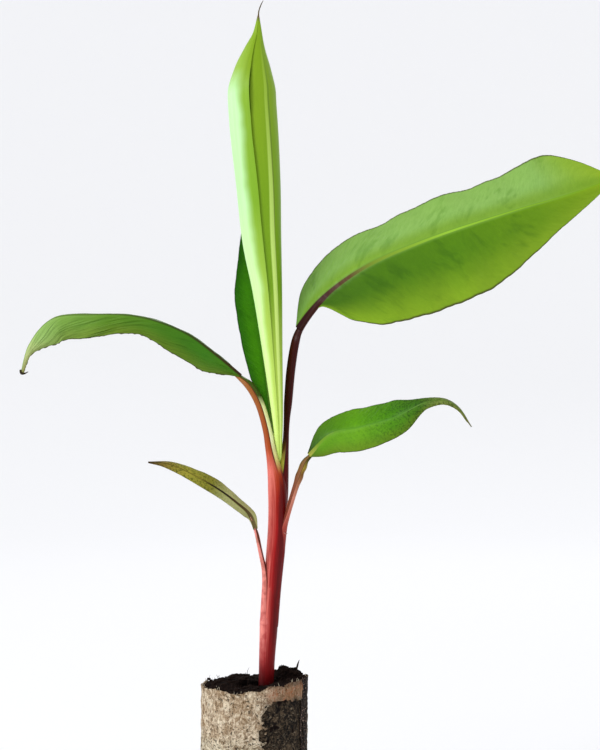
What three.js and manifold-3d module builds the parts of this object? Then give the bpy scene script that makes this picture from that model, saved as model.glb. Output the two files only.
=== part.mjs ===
// A young banana plant, 40 cm tall, that grows out of a plug of potting soil wrapped in paper.
// Millimetres, +Z up. The origin is the middle of the plug's flat underside. The biggest leaf
// reaches towards +X, the arching one towards -X, and the plant's front looks towards -Y.
import * as THREE from "three";
import { mergeVertices } from "three/addons/utils/BufferGeometryUtils.js";
import Module from "manifold-3d";

// Driving dimensions.
const PLUG_RADIUS = 25;
const PLUG_HEIGHT = 79; // to the paper's rim, on average
const RIM_LEAN = 1.9; // the rim is torn higher than that on the right and lower on the left
const PAPER = 0.7; // the sleeve's wall
const GAP = 0.3; // kept between pieces that touch
const SOIL_TOP = 77.3; // round the stem
const RIM_FOOT = 75.2; // what is above this follows the rim's lean and the soil's lumps
const TORN_FOOT = 0.5; // the paper is torn off just above the soil's underside
const STEM_FOOT = SOIL_TOP + GAP;
const FORK = 175; // where the sheaths part into separate leaf stalks
const RIB_THICK = 2.4; // a blade at its midrib
const EDGE_THICK = 0.9; // and at its margin
const SPLIT = 0.003; // the gap, as a share of the length, between two nodes of one blade

// Facets.
const PLUG_SIDES = 32;
const BLADE_STEPS = 20; // along a whole blade
const BLADE_STRIPS = 8; // across both halves

// Low lumps of soil round the stem: [x, y, height, breadth].
const LUMPS = [[15, 14, 5.5, 5.5], [-9, 14, 2.5, 6], [18, -9, 2, 4], [-13, -9, -1, 6]];

// Stalks and the stem: [x, y, z] along the middle, with [share of the length, radius] stops.
// flat is how deep a section is for its width.
const STALKS = {
  petiole_left: {
    colour: "pink_stalk",
    line: [[8.7, -1.0, FORK + GAP], [7.4, -0.9, 188], [5.2, -0.4, 198], [1.6, 0.6, 210.5], [-4.6, 2, 222.5]],
    radii: [[0, 2.2], [0.3, 1.75], [0.6, 1.7], [0.85, 2.5], [1, 2.6]],
    flat: 0.9,
  },
  petiole_right: {
    colour: "dark_stalk",
    line: [[14.6, 1.6, FORK + GAP], [14.9, 2.1, 190], [15.4, 2.3, 207], [17.0, 1.2, 226], [20.4, -1, 244]],
    radii: [[0, 1.05], [0.3, 1.35], [0.6, 1.9], [0.85, 2.3], [1, 2.3]],
    flat: 1,
  },
  petiole_back: {
    colour: "pink_stalk",
    line: [[10.9, 3.5, FORK + GAP], [10.4, 4.6, 188], [9.0, 6.0, 203]],
    radii: [[0, 0.8], [1, 1.1]],
    flat: 1,
  },
  petiole_low_right: {
    colour: "pink_stalk",
    meetsStem: true,
    line: [[12.6, -1.6, 149], [15.2, -3.4, 156], [17.9, -5.2, 166], [21.0, -7.2, 176], [24.6, -8.6, 183.4]],
    radii: [[0, 1.6], [0.5, 1.7], [0.85, 2.2], [1, 1.7]],
    flat: 0.9,
  },
  petiole_low_left: {
    colour: "pink_stalk",
    meetsStem: true,
    line: [[9.0, -0.8, 124], [6.2, -2.2, 132], [3.6, -3.8, 142], [1.2, -5, 149.3]],
    radii: [[0, 1.6], [0.5, 1.4], [1, 1.2]],
    flat: 0.8,
  },
};
const STEM = {
  line: [[5.6, -1, STEM_FOOT], [6.7, -1, 104], [9.0, -0.7, 130], [11.2, -0.2, 152], [11.3, 0.3, FORK]],
  radii: [[0, 3.9], [0.35, 4.2], [0.8, 4.9], [1, 4.85]],
  flat: 0.95,
};

// Leaves: rib is the midrib's line; face the way that the upper side looks at base and tip;
// left and right the half widths, as [share of the length, width] stops, for somebody who looks
// from base to tip; droop how far, in degrees, the left and the right half lean down from the
// level; curl how much further each bends by its margin; wave the ripple's height and count.
const LEAVES = {
  leaf_right: {
    colour: "leaf",
    rib: [[21, -1, 245.6], [31.6, -3, 259.7], [51, -6, 274.3], [80, -8, 287.2], [124, -5, 302],
      [150, 1, 309.8], [173.6, 8, 318.6]],
    face: [[0.1, -0.87, 0.5], [0, -0.99, 0.1]],
    left: [[0, 3], [0.04, 7.5], [0.1, 16.5], [0.2, 24], [0.43, 27.5], [0.6, 25.3], [0.8, 29.6], [0.88, 28],
      [0.94, 18], [0.98, 6], [1, 0.7]],
    right: [[0, 0.8], [0.085, 2.2], [0.13, 17], [0.24, 29.5], [0.43, 33.5], [0.54, 32.5], [0.7, 23.5],
      [0.82, 13.2], [0.92, 6], [1, 0.7]],
    droop: [30, 14],
    curl: [2, 8],
    wave: [0.8, 2, 0.3],
    spans: { leaf_right: [0, 1] },
  },
  leaf_left: {
    colour: "leaf",
    rib: [[-6.4, 2.6, 224], [-19, 4.5, 234.4], [-34, 6.5, 244.8], [-56, 9, 252.2], [-80, 12, 253.2],
      [-99, 14.5, 251], [-109.8, 16, 239], [-114.2, 17, 224.3]],
    face: [[-0.2, -0.45, 0.85], [-0.7, -0.6, 0.3]],
    left: [[0, 2], [0.15, 10.8], [0.26, 11.8], [0.42, 9], [0.7, 12.2], [0.79, 11.4], [0.9, 3], [1, 1.3]],
    right: [[0, 1.8], [0.15, 11], [0.3, 13.5], [0.5, 12.5], [0.75, 11.5], [0.88, 4.5], [1, 1.3]],
    droop: [48, 52],
    curl: [10, 10],
    wave: [0, 3, 0],
    spans: { leaf_left_inner: [0, 0.5], leaf_left_tip: [0.5, 1] },
  },
  leaf_low_right: {
    colour: "leaf",
    rib: [[25.9, -9.2, 186], [35.7, -12, 196], [49.7, -15, 199.6], [66, -19, 204.4], [80, -22, 211.2],
      [89, -24, 212], [95, -25.5, 208.6], [100.8, -27, 200]],
    face: [[-0.2, -0.9, 0.45], [0.35, -0.75, 0.6]],
    left: [[0, 1.4], [0.15, 8.6], [0.32, 13], [0.51, 11], [0.69, 3.4], [0.88, 1.4], [1, 0.6]],
    right: [[0, 1.2], [0.06, 6.5], [0.15, 9.4], [0.32, 11], [0.51, 9], [0.69, 3.2], [0.88, 1.6], [1, 0.6]],
    droop: [14, 20],
    curl: [6, 8],
    wave: [0.4, 2, 0.4],
    spans: { leaf_low_right: [0, 0.72], leaf_low_right_tip: [0.72, 1] },
  },
  leaf_low_left: {
    colour: "old_leaf",
    rib: [[0.6, -5.4, 150.8], [-2.2, -8, 158.4], [-8, -10.5, 164], [-16.5, -14, 170.6], [-33.6, -19.5, 180.4],
      [-41, -21, 183], [-48.5, -23, 183.6]],
    face: [[-0.3, -0.5, 0.8], [-0.2, -0.6, 0.75]],
    left: [[0, 0.9], [0.2, 2.8], [0.5, 3.4], [0.8, 2.6], [1, 0.8]],
    right: [[0, 0.9], [0.2, 3.6], [0.5, 4.8], [0.8, 3], [1, 0.8]],
    droop: [40, 25],
    curl: [12, 12],
    wave: [0, 3, 0],
    spans: { leaf_low_left: [0, 1] },
  },
  leaf_back: {
    colour: "dark_leaf",
    rib: [[8.9, 6.4, 204.4], [5.8, 8.5, 226], [1.0, 11.5, 256], [-2.6, 13.5, 279], [-5.6, 15, 296.8]],
    face: [[0.1, -1, 0.1], [0.1, -1, 0.1]],
    left: [[0, 1.1], [0.3, 8.6], [0.6, 10.8], [0.85, 5.2], [1, 0.6]],
    right: [[0, 1.1], [0.3, 6], [0.6, 7.6], [0.85, 4.2], [1, 0.6]],
    droop: [-16, -16],
    curl: [-10, -10],
    wave: [0, 1, 0],
    spans: { leaf_back: [0, 1] },
  },
};

// The youngest leaf, still rolled: one spindle with a dry thread for a tip.
const ROLLED = {
  line: [[12.0, -0.6, FORK + GAP], [11.2, -1.2, 203], [8.8, -1.4, 236.6], [4.7, -1, 288], [-0.3, -0.4, 350],
    [1.8, 0, 386], [2.1, 0.2, 396], [4.4, 0.4, 402.3]],
  radii: [[0, 1.2], [0.12, 2.4], [0.27, 4.9], [0.5, 8.8], [0.74, 11.6], [0.81, 11.2], [0.87, 7.6], [0.93, 2],
    [0.96, 0.8], [1, 0.45]],
  flat: 0.66,
};

const COLOURS = {
  soil: 0x17100d,
  paper: 0xb9a68a,
  stem: 0xb03a34,
  dark_stalk: 0x3a0c0a,
  pink_stalk: 0xb06a52,
  leaf: 0x5c9a1e,
  dark_leaf: 0x347f16,
  old_leaf: 0x8d8f45,
  young_leaf: 0xb6dc7e,
};

const wasm = await Module();
wasm.setup();

const vector = (list) => new THREE.Vector3(...list);

// A smooth value through [share, value] stops, which never overshoots them.
function through(stops) {
  const slope = (i) => (stops[i + 1][1] - stops[i][1]) / (stops[i + 1][0] - stops[i][0]);
  const last = stops.length - 1;
  const slopeAt = stops.map((_, i) => {
    if (i === 0 || i === last) return slope(Math.min(i, last - 1));
    const [before, after] = [slope(i - 1), slope(i)];
    return before * after > 0 ? (2 * before * after) / (before + after) : 0;
  });
  return (share) => {
    const i = Math.max(0, stops.findLastIndex(([start], n) => start <= share && n < last));
    const run = stops[i + 1][0] - stops[i][0];
    const u = Math.min(1, (share - stops[i][0]) / run);
    return (
      (1 + 2 * u) * (1 - u) ** 2 * stops[i][1] +
      u * (1 - u) ** 2 * run * slopeAt[i] +
      u * u * (3 - 2 * u) * stops[i + 1][1] +
      u * u * (u - 1) * run * slopeAt[i + 1]
    );
  };
}

const curveThrough = (points) => new THREE.CatmullRomCurve3(points.map(vector), false, "centripetal");

// Moves every vertex of a geometry by a function from its old place to its new one.
function reshape(geometry, place) {
  const position = geometry.getAttribute("position");
  const p = new THREE.Vector3();
  for (let i = 0; i < position.count; i++) {
    p.fromBufferAttribute(position, i);
    position.setXYZ(i, ...place(p).toArray());
  }
  geometry.computeVertexNormals();
  return geometry;
}

// A cylinder bent along a line, with its radius and flatness. Its foot is cut level.
function limb({ line, radii, flat }, sides, steps) {
  const curve = curveThrough(line);
  const radius = through(radii);
  return reshape(new THREE.CylinderGeometry(1, 1, 1, sides, steps), (p) => {
    const t = p.y + 0.5;
    const along = t === 0 ? new THREE.Vector3(0, 0, 1) : curve.getTangentAt(t);
    const wide = along.clone().cross(new THREE.Vector3(0, -1, 0)).normalize();
    const deep = wide.clone().cross(along);
    return curve
      .getPointAt(t)
      .addScaledVector(wide, p.x * radius(t))
      .addScaledVector(deep, p.z * radius(t) * flat);
  });
}

// A box bent into a thin blade: its length runs along the rib, its width over both halves.
function blade(leaf, [from, to]) {
  const curve = curveThrough(leaf.rib);
  const halves = [through(leaf.left), through(leaf.right)];
  const [baseFace, tipFace] = leaf.face.map(vector);
  const [height, ripples, phase] = leaf.wave;
  const steps = Math.max(6, Math.round((to - from) * BLADE_STEPS));
  return reshape(new THREE.BoxGeometry(1, 1, 1, steps, BLADE_STRIPS, 1), (p) => {
    const t = from + (p.x + 0.5) * (to - from);
    const along = curve.getTangentAt(t);
    const side = baseFace.clone().lerp(tipFace, t).cross(along).normalize();
    const up = along.clone().cross(side);
    const half = p.y > 0 ? 0 : 1;
    const share = Math.abs(2 * p.y); // 0 at the rib, 1 at the margin
    const width = halves[half](t) * share;
    const lean = THREE.MathUtils.degToRad(leaf.droop[half] + (leaf.curl[half] * share) / 2);
    const wave = Math.sin(2 * Math.PI * (ripples * t + phase)) * Math.sin(Math.PI * t);
    const ripple = height * share ** 2 * wave;
    const thick = THREE.MathUtils.lerp(RIB_THICK, EDGE_THICK, Math.min(1, 2 * share));
    const taper = Math.min(1, 8 * (1 - t) + 0.3); // the last eighth thins to a third
    return curve
      .getPointAt(t)
      .addScaledVector(side, Math.sign(p.y) * width * Math.cos(lean))
      .addScaledVector(up, ripple - width * Math.sin(lean) + p.z * thick * taper);
  });
}

function solidOf(geometry) {
  const bare = geometry.clone();
  bare.deleteAttribute("normal");
  bare.deleteAttribute("uv");
  const merged = mergeVertices(bare, 1e-3);
  return new wasm.Manifold(
    new wasm.Mesh({
      numProp: 3,
      vertProperties: merged.attributes.position.array,
      triVerts: new Uint32Array(merged.index.array),
    }),
  );
}

function geometryOf(solid) {
  const { vertProperties, triVerts } = solid.getMesh();
  const made = new THREE.BufferGeometry();
  made.setAttribute("position", new THREE.BufferAttribute(vertProperties, 3));
  made.setIndex(new THREE.BufferAttribute(triVerts, 1));
  made.computeVertexNormals();
  return made;
}

// The plug's two pieces are turned about its axis, and what is above their rim's foot is raised.
function turned(profile, rise) {
  const outline = profile.map(([r, z]) => new THREE.Vector2(r, z));
  const made = new THREE.LatheGeometry(outline, PLUG_SIDES).rotateX(Math.PI / 2);
  return reshape(made, (p) => p.setZ(p.z > RIM_FOOT ? p.z + rise(p.x, p.y) : p.z));
}

function paperSleeve() {
  const inner = PLUG_RADIUS - PAPER;
  const foot = [[inner, TORN_FOOT], [PLUG_RADIUS, TORN_FOOT]];
  const rim = [[PLUG_RADIUS, PLUG_HEIGHT], [inner, PLUG_HEIGHT]];
  return turned([...foot, ...rim, foot[0]], (x) => (RIM_LEAN * x) / PLUG_RADIUS);
}

function soilPlug() {
  const radius = PLUG_RADIUS - PAPER - GAP;
  const seat = 9.9; // the flat that the stem stands on
  const slopes = [22, 19.5, 17, 14, 11].map((r) => [r, SOIL_TOP - 0.9]);
  const outline = [[0, 0], [radius, 0], [radius, RIM_FOOT + 0.1], ...slopes, [seat, SOIL_TOP], [0, SOIL_TOP]];
  return turned(outline, (x, y) =>
    LUMPS.reduce((sum, [cx, cy, height, breadth]) => {
      return sum + height * Math.exp(-((x - cx) ** 2 + (y - cy) ** 2) / breadth ** 2);
    }, 0),
  );
}

// The two low stalks leave the stem's side, so each is cut back to just clear of it.
const stemRoom = solidOf(limb({ ...STEM, radii: STEM.radii.map(([t, r]) => [t, r + GAP]) }, 32, 12));

function stalk(shape, meetsStem) {
  const whole = limb(shape, 12, 10);
  return meetsStem ? geometryOf(solidOf(whole).subtract(stemRoom)) : whole;
}

const plant = new THREE.Group();

function add(name, geometry, colour, roughness) {
  const material = new THREE.MeshStandardMaterial({ color: COLOURS[colour], roughness, metalness: 0 });
  const mesh = new THREE.Mesh(geometry, material);
  mesh.name = name;
  plant.add(mesh);
}

add("soil_plug", soilPlug(), "soil", 0.95);
add("paper_sleeve", paperSleeve(), "paper", 0.9);
add("pseudostem", limb(STEM, 16, 12), "stem", 0.35);
for (const [name, { colour, meetsStem, ...shape }] of Object.entries(STALKS)) {
  add(name, stalk(shape, meetsStem), colour, 0.4);
}
for (const leaf of Object.values(LEAVES)) {
  for (const [name, [from, to]] of Object.entries(leaf.spans)) {
    const start = from > 0 ? from + SPLIT : from;
    add(name, blade(leaf, [start, to]), leaf.colour, 0.45);
  }
}
add("leaf_rolled", limb(ROLLED, 16, 24), "young_leaf", 0.45);

export default plant;
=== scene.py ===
"""A young banana plant on a soil plug in a paper sleeve.

Lengths are in millimetres in the tables below and are turned into the frame's metres by place()
and mm, which come from the frame's own height. X runs to the right, Y away and Z up.
"""

import math
import random

import bmesh
import bpy
from mathutils import Matrix, Vector, noise


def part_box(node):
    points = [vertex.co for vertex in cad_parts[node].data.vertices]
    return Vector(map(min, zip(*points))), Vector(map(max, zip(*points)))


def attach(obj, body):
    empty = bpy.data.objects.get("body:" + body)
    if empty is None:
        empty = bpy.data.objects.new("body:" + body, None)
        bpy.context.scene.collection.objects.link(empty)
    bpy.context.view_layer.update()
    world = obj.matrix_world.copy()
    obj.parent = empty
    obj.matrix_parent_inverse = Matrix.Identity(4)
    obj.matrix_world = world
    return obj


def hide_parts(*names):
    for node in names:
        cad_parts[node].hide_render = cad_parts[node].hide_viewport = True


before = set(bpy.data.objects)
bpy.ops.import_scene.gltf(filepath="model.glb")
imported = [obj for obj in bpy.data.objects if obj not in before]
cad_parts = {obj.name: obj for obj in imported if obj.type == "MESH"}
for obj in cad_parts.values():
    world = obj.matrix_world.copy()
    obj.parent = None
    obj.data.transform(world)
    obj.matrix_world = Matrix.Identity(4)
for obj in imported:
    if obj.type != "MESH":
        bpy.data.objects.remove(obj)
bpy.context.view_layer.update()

# ---------------------------------------------------------------- the frame's own sizes

plug_low, plug_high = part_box("soil_plug")
sleeve_low, sleeve_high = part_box("paper_sleeve")
FOOT = Vector(((plug_low.x + plug_high.x) / 2, (plug_low.y + plug_high.y) / 2, plug_low.z))
PLANT_HEIGHT = 402.4  # the design's height, in millimetres
mm = (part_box("leaf_rolled")[1].z - plug_low.z) / PLANT_HEIGHT
SLEEVE_RADIUS = (sleeve_high.x - sleeve_low.x) / 2 / mm
SOIL_RADIUS = (plug_high.x - plug_low.x) / 2 / mm
SOIL_TOP = (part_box("pseudostem")[0].z - plug_low.z) / mm
SLEEVE_FOOT = (sleeve_low.z - plug_low.z) / mm


def place(x, y, z):
    """A point told in millimetres from the middle of the plug's underside."""
    return FOOT + Vector((x, y, z)) * mm


# ---------------------------------------------------------------- lines and widths


def through(stops):
    """A smooth value through (share, value) stops, which never overshoots them."""
    last = len(stops) - 1

    def slope(i):
        return (stops[i + 1][1] - stops[i][1]) / (stops[i + 1][0] - stops[i][0])

    slopes = []
    for i in range(last + 1):
        before, after = slope(max(i - 1, 0)), slope(min(i, last - 1))
        same_way = before * after > 0
        slopes.append(2 * before * after / (before + after) if same_way else 0.0)

    def value(share):
        i = max([n for n in range(last) if stops[n][0] <= share] or [0])
        run = stops[i + 1][0] - stops[i][0]
        u = min(1.0, max(0.0, (share - stops[i][0]) / run))
        ends = (1 + 2 * u) * (1 - u) ** 2 * stops[i][1] + u * u * (3 - 2 * u) * stops[i + 1][1]
        return ends + run * u * (1 - u) * ((1 - u) * slopes[i] - u * slopes[i + 1])

    return value


class Line:
    """A smooth line through points, told by the share of its length."""

    PARTS = 24  # samples between two points

    def __init__(self, points):
        points = [Vector(p[:3]) for p in points]
        first, last = 2 * points[0] - points[1], 2 * points[-1] - points[-2]
        held = [first, *points, last]
        self.samples = []
        for a, b, c, d in zip(held, held[1:], held[2:], held[3:]):
            self.samples += [self.between(a, b, c, d, n / self.PARTS) for n in range(self.PARTS)]
        self.samples.append(points[-1])
        self.run = [0.0]
        for a, b in zip(self.samples, self.samples[1:]):
            self.run.append(self.run[-1] + (b - a).length)
        self.length = self.run[-1]
        self.shares = [self.run[n * self.PARTS] / self.length for n in range(len(points))]

    @staticmethod
    def between(a, b, c, d, u):
        """A centripetal spline's point between b and c."""
        ab, bc, cd = (math.sqrt(max((q - p).length, 1e-6)) for p, q in ((a, b), (b, c), (c, d)))
        t1, t2, t3 = ab, ab + bc, ab + bc + cd
        t = t1 + (t2 - t1) * u
        first = a.lerp(b, t / t1)
        middle = b.lerp(c, (t - t1) / bc)
        last = c.lerp(d, (t - t2) / cd)
        return first.lerp(middle, t / t2).lerp(middle.lerp(last, (t - t1) / (t3 - t1)), (t - t1) / bc)

    def at(self, share):
        goal = min(1.0, max(0.0, share)) * self.length
        low, high = 0, len(self.run) - 1
        while high - low > 1:
            middle = (low + high) // 2
            low, high = (middle, high) if self.run[middle] <= goal else (low, middle)
        step = max(self.run[high] - self.run[low], 1e-9)
        return self.samples[low].lerp(self.samples[high], (goal - self.run[low]) / step)

    def along(self, share):
        step = 0.004
        return (self.at(share + step) - self.at(share - step)).normalized()


def axes(along, face):
    """The axes of a strip that runs along and whose upper side looks to face."""
    side = face.cross(along).normalized()
    return along, side, along.cross(side)


# ---------------------------------------------------------------- modelling by hand


def deselect():
    if bpy.context.object and bpy.context.object.mode != "OBJECT":
        bpy.ops.object.mode_set(mode="OBJECT")
    bpy.ops.object.select_all(action="DESELECT")


def choose(piece):
    deselect()
    piece.select_set(True)
    bpy.context.view_layer.objects.active = piece


class Edit:
    """Edit mode on one piece. pick() selects some of its vertices, and the rest acts on them."""

    def __init__(self, piece):
        choose(piece)
        self.piece = piece
        bpy.ops.object.mode_set(mode="EDIT")
        bpy.ops.mesh.select_mode(type="VERT")
        bpy.ops.mesh.select_all(action="DESELECT")
        self.mesh = bmesh.from_edit_mesh(piece.data)
        self.picked = []

    def pick(self, verts):
        for vert in self.picked:
            vert.select_set(False)
        self.picked = list(verts)
        for vert in self.picked:
            vert.select_set(True)

    def turn(self, angle, axis, centre):
        bpy.ops.transform.rotate(value=-angle, orient_axis=axis, orient_type="GLOBAL",
                                 center_override=centre)

    def grow(self, factors, centre):
        bpy.ops.transform.resize(value=factors, orient_type="GLOBAL", center_override=centre)

    def shift(self, way):
        bpy.ops.transform.translate(value=way, orient_type="GLOBAL")

    def done(self):
        bpy.ops.object.mode_set(mode="OBJECT")
        return self.piece


def strip(name, rows, columns):
    """A flat strip, one unit long on X and two wide on Y. Returns its edit and its rows.

    A row is its share of the length and its vertices, from the right margin (low Y) to the left.
    """
    deselect()
    bpy.ops.mesh.primitive_grid_add(x_subdivisions=rows, y_subdivisions=columns, size=1)
    piece = bpy.context.active_object
    piece.name = name
    piece.data.uv_layers[0].name = "along"
    edit = Edit(piece)
    found = {}
    for vert in edit.mesh.verts:
        found.setdefault(round((vert.co.x + 0.5) * rows), []).append(vert)
    lines = [sorted(found[key], key=lambda v: v.co.y) for key in sorted(found)]
    edit.pick(edit.mesh.verts)
    edit.grow((1, 2, 1), (0, 0, 0))
    return edit, [(n / rows, line) for n, line in enumerate(lines)]


def bend_half(edit, rows, columns, way, turns):
    """Folds a half (way +1 left, -1 right) of every row down, column after column, by turns."""
    middle = columns // 2
    for n, angle in enumerate(turns):
        hinge = rows[0][1][middle + way * n].co.copy()
        beyond = [v for _, line in rows for m, v in enumerate(line) if (m - middle) * way > n]
        edit.pick(beyond)
        edit.turn(-way * angle, "X", hinge)


def roll(edit, rows, columns):
    """Rolls a strip, two wide, into a tube of radius one round the X axis, its seam on top."""
    angle = 2 * math.pi / columns
    for way in (1, -1):
        turns = [-angle / 2] + [-angle] * (columns // 2 - 1)
        bend_half(edit, rows, columns, way, turns)
    across = 2 / columns
    radius = across / 2 / math.sin(angle / 2)
    edit.pick(edit.mesh.verts)
    edit.shift((0, 0, -radius))
    edit.grow((1, 1 / radius, 1 / radius), (0, 0, 0))


def lay_row(edit, row, start, point, frame_axes):
    """Stands a row, made at start on the X axis, on a point of the plant."""
    angles = Matrix(frame_axes).transposed().to_euler("XYZ")
    edit.pick(row)
    for axis, angle in zip("XYZ", angles):
        edit.turn(angle, axis, start)
    edit.shift(point - start)


def apply(piece, kind, **settings):
    """Adds a modifier with its settings and applies it."""
    choose(piece)
    modifier = piece.modifiers.new(kind.title(), kind)
    for key, value in settings.items():
        setattr(modifier, key, value)
    bpy.ops.object.modifier_apply(modifier=modifier.name)


def smooth(piece, levels=1):
    apply(piece, "SUBSURF", levels=levels, render_levels=levels)
    choose(piece)
    bpy.ops.object.shade_smooth()


def clouds(name, size, depth):
    made = bpy.data.textures.new(name, "CLOUDS")
    made.noise_scale = size
    made.noise_depth = depth
    return made


def crumple(piece, name, size, strength, **settings):
    """Moves a surface in and out by soft lumps. size and strength are in millimetres."""
    apply(piece, "DISPLACE", texture=clouds(name, size * mm, 3), texture_coords="GLOBAL",
          strength=strength * mm, **settings)


def settle(piece, nodes, materials):
    """Says what a finished piece is made of and which design nodes it stands for."""
    piece.data.materials.clear()
    for material in materials:
        piece.data.materials.append(material)
    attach(piece, "root")
    if nodes:
        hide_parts(*nodes)
    return piece


# ---------------------------------------------------------------- material helpers


def tint(red, green, blue):
    """A screen colour, 0 to 255, as the linear colour that a shader takes."""
    linear = []
    for value in (red, green, blue):
        share = value / 255
        linear.append(share / 12.92 if share <= 0.04045 else ((share + 0.055) / 1.055) ** 2.4)
    return (*linear, 1.0)


class Nodes:
    """Adds nodes to a material's or a group's tree, and links what it is given."""

    def __init__(self, tree):
        self.tree = tree

    def put(self, socket, value):
        if isinstance(value, bpy.types.NodeSocket):
            self.tree.links.new(value, socket)
        elif value is not None:
            socket.default_value = value

    def add(self, kind, settings=None, **inputs):
        node = self.tree.nodes.new(kind)
        for key, value in (settings or {}).items():
            setattr(node, key, value)
        for key, value in inputs.items():
            self.put(node.inputs[key.replace("_", " ")], value)
        return node

    def maths(self, operation, a, b=0.0, clamp=False):
        node = self.tree.nodes.new("ShaderNodeMath")
        node.operation = operation
        node.use_clamp = clamp
        self.put(node.inputs[0], a)
        self.put(node.inputs[1], b)
        return node.outputs[0]

    def times(self, value, *others):
        for other in others:
            value = self.maths("MULTIPLY", value, other)
        return value

    def plus(self, a, b):
        return self.maths("ADD", a, b)

    def minus(self, a, b):
        return self.maths("SUBTRACT", a, b)

    def over(self, a, b, clamp=False):
        return self.maths("DIVIDE", a, b, clamp)

    def distance(self, a, b):
        """How far one value is from another, either way."""
        return self.maths("ABSOLUTE", self.minus(a, b))

    def range(self, value, low, high, to_low=0.0, to_high=1.0):
        """A smooth step from one value to another."""
        node = self.tree.nodes.new("ShaderNodeMapRange")
        node.interpolation_type = "SMOOTHSTEP"
        for socket, given in zip(node.inputs, (value, low, high, to_low, to_high)):
            self.put(socket, given)
        return node.outputs[0]

    def mix(self, share, a, b, blend="MIX"):
        node = self.tree.nodes.new("ShaderNodeMix")
        node.data_type = "RGBA"
        node.blend_type = blend
        self.put(node.inputs[0], share)
        self.put(node.inputs[6], a)
        self.put(node.inputs[7], b)
        return node.outputs[2]

    def shade(self, colour, *factors):
        """A colour times a factor each for its red, green and blue."""
        return self.mix(1.0, colour, (*factors, 1), "MULTIPLY")

    def ramp(self, value, stops):
        """A colour through (place, red, green, blue) stops, told as tint() takes them."""
        node = self.tree.nodes.new("ShaderNodeValToRGB")
        self.put(node.inputs[0], value)
        elements = node.color_ramp.elements
        while len(elements) < len(stops):
            elements.new(0.5)
        for element, (spot, *tone) in zip(elements, stops):
            element.position = spot
            element.color = tint(*tone)
        return node.outputs[0]

    def noise(self, vector, scale, detail=2.0, roughness=0.5, distortion=0.0):
        settings = {"noise_dimensions": "3D"}
        node = self.add("ShaderNodeTexNoise", settings, Vector=vector, Scale=scale, Detail=detail)
        node.inputs["Roughness"].default_value = roughness
        node.inputs["Distortion"].default_value = distortion
        return node.outputs["Fac"]

    def combine(self, x, y, z=0.0):
        return self.add("ShaderNodeCombineXYZ", None, X=x, Y=y, Z=z).outputs[0]

    def group(self, tree, **inputs):
        node = self.tree.nodes.new("ShaderNodeGroup")
        node.node_tree = tree
        for key, value in inputs.items():
            self.put(node.inputs[key.replace("_", " ")], value)
        return node.outputs


def new_group(name, inputs, outputs):
    """A shader group with named float, vector or colour sockets."""
    tree = bpy.data.node_groups.new(name, "ShaderNodeTree")
    for way, sockets in (("INPUT", inputs), ("OUTPUT", outputs)):
        for label, kind in sockets:
            tree.interface.new_socket(name=label, in_out=way, socket_type="NodeSocket" + kind)
    enter = tree.nodes.new("NodeGroupInput").outputs
    leave = tree.nodes.new("NodeGroupOutput").inputs
    return tree, Nodes(tree), enter, leave


def new_material(name, roughness=0.5, coat=0.0, specular=0.5):
    material = bpy.data.materials.new(name)
    material.use_nodes = True
    nodes = Nodes(material.node_tree)
    shader = material.node_tree.nodes["Principled BSDF"]
    shader.inputs["Roughness"].default_value = roughness
    shader.inputs["Coat Weight"].default_value = coat
    shader.inputs["Coat Roughness"].default_value = 0.25
    shader.inputs["Specular IOR Level"].default_value = specular
    return material, nodes, shader.inputs


def relief(nodes, shader, height, depth, strength=1.0):
    """Bump of a height field, depth in millimetres."""
    bump = nodes.add("ShaderNodeBump", None, Height=height, Strength=strength, Distance=depth * mm)
    nodes.put(shader["Normal"], bump.outputs[0])


def streak_group():
    """Fine lines that run along one axis of a map: tone from 0 to 1, and a height."""
    tree, nodes, enter, leave = new_group(
        "streaks",
        [("Map", "Vector"), ("Fineness", "Float"), ("Stretch", "Float")],
        [("Tone", "Float"), ("Height", "Float")],
    )
    part = nodes.add("ShaderNodeSeparateXYZ", None, Vector=enter["Map"]).outputs
    across = nodes.times(part[0], enter["Fineness"])
    along = nodes.times(part[1], enter["Stretch"])
    wide = nodes.noise(nodes.combine(across, along, 0.0), 1.0, 2.0, 0.6)
    fine = nodes.noise(nodes.combine(nodes.times(across, 3.7), along, 4.0), 1.0, 2.0, 0.5)
    blend = nodes.plus(nodes.times(wide, 0.65), nodes.times(fine, 0.35))
    nodes.put(leave["Tone"], nodes.range(blend, 0.34, 0.66))
    nodes.put(leave["Height"], blend)
    return tree


def mottle_group():
    """Soft blotches with a few dark specks in them."""
    tree, nodes, enter, leave = new_group(
        "mottle",
        [("Vector", "Vector"), ("Blotch Size", "Float"), ("Speck Size", "Float"), ("Specks", "Float")],
        [("Blotches", "Float"), ("Specks", "Float")],
    )
    per_blotch = nodes.over(1.0, enter["Blotch Size"])
    per_speck = nodes.over(1.0, enter["Speck Size"])
    soft = nodes.noise(enter["Vector"], per_blotch, 4.0, 0.6, 0.4)
    hard = nodes.noise(enter["Vector"], per_speck, 3.0, 0.6, 0.8)
    edge = nodes.minus(0.78, nodes.times(enter["Specks"], 0.3))
    nodes.put(leave["Blotches"], nodes.range(soft, 0.3, 0.7))
    nodes.put(leave["Specks"], nodes.range(hard, edge, nodes.plus(edge, 0.07)))
    return tree


STREAKS = streak_group()
MOTTLE = mottle_group()


def uv_parts(nodes, layer="along"):
    """A strip's own map: the share of its length and the share of its width."""
    uv = nodes.add("ShaderNodeUVMap", {"uv_map": layer}).outputs[0]
    part = nodes.add("ShaderNodeSeparateXYZ", None, Vector=uv).outputs
    return uv, part[0], part[1]


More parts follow.
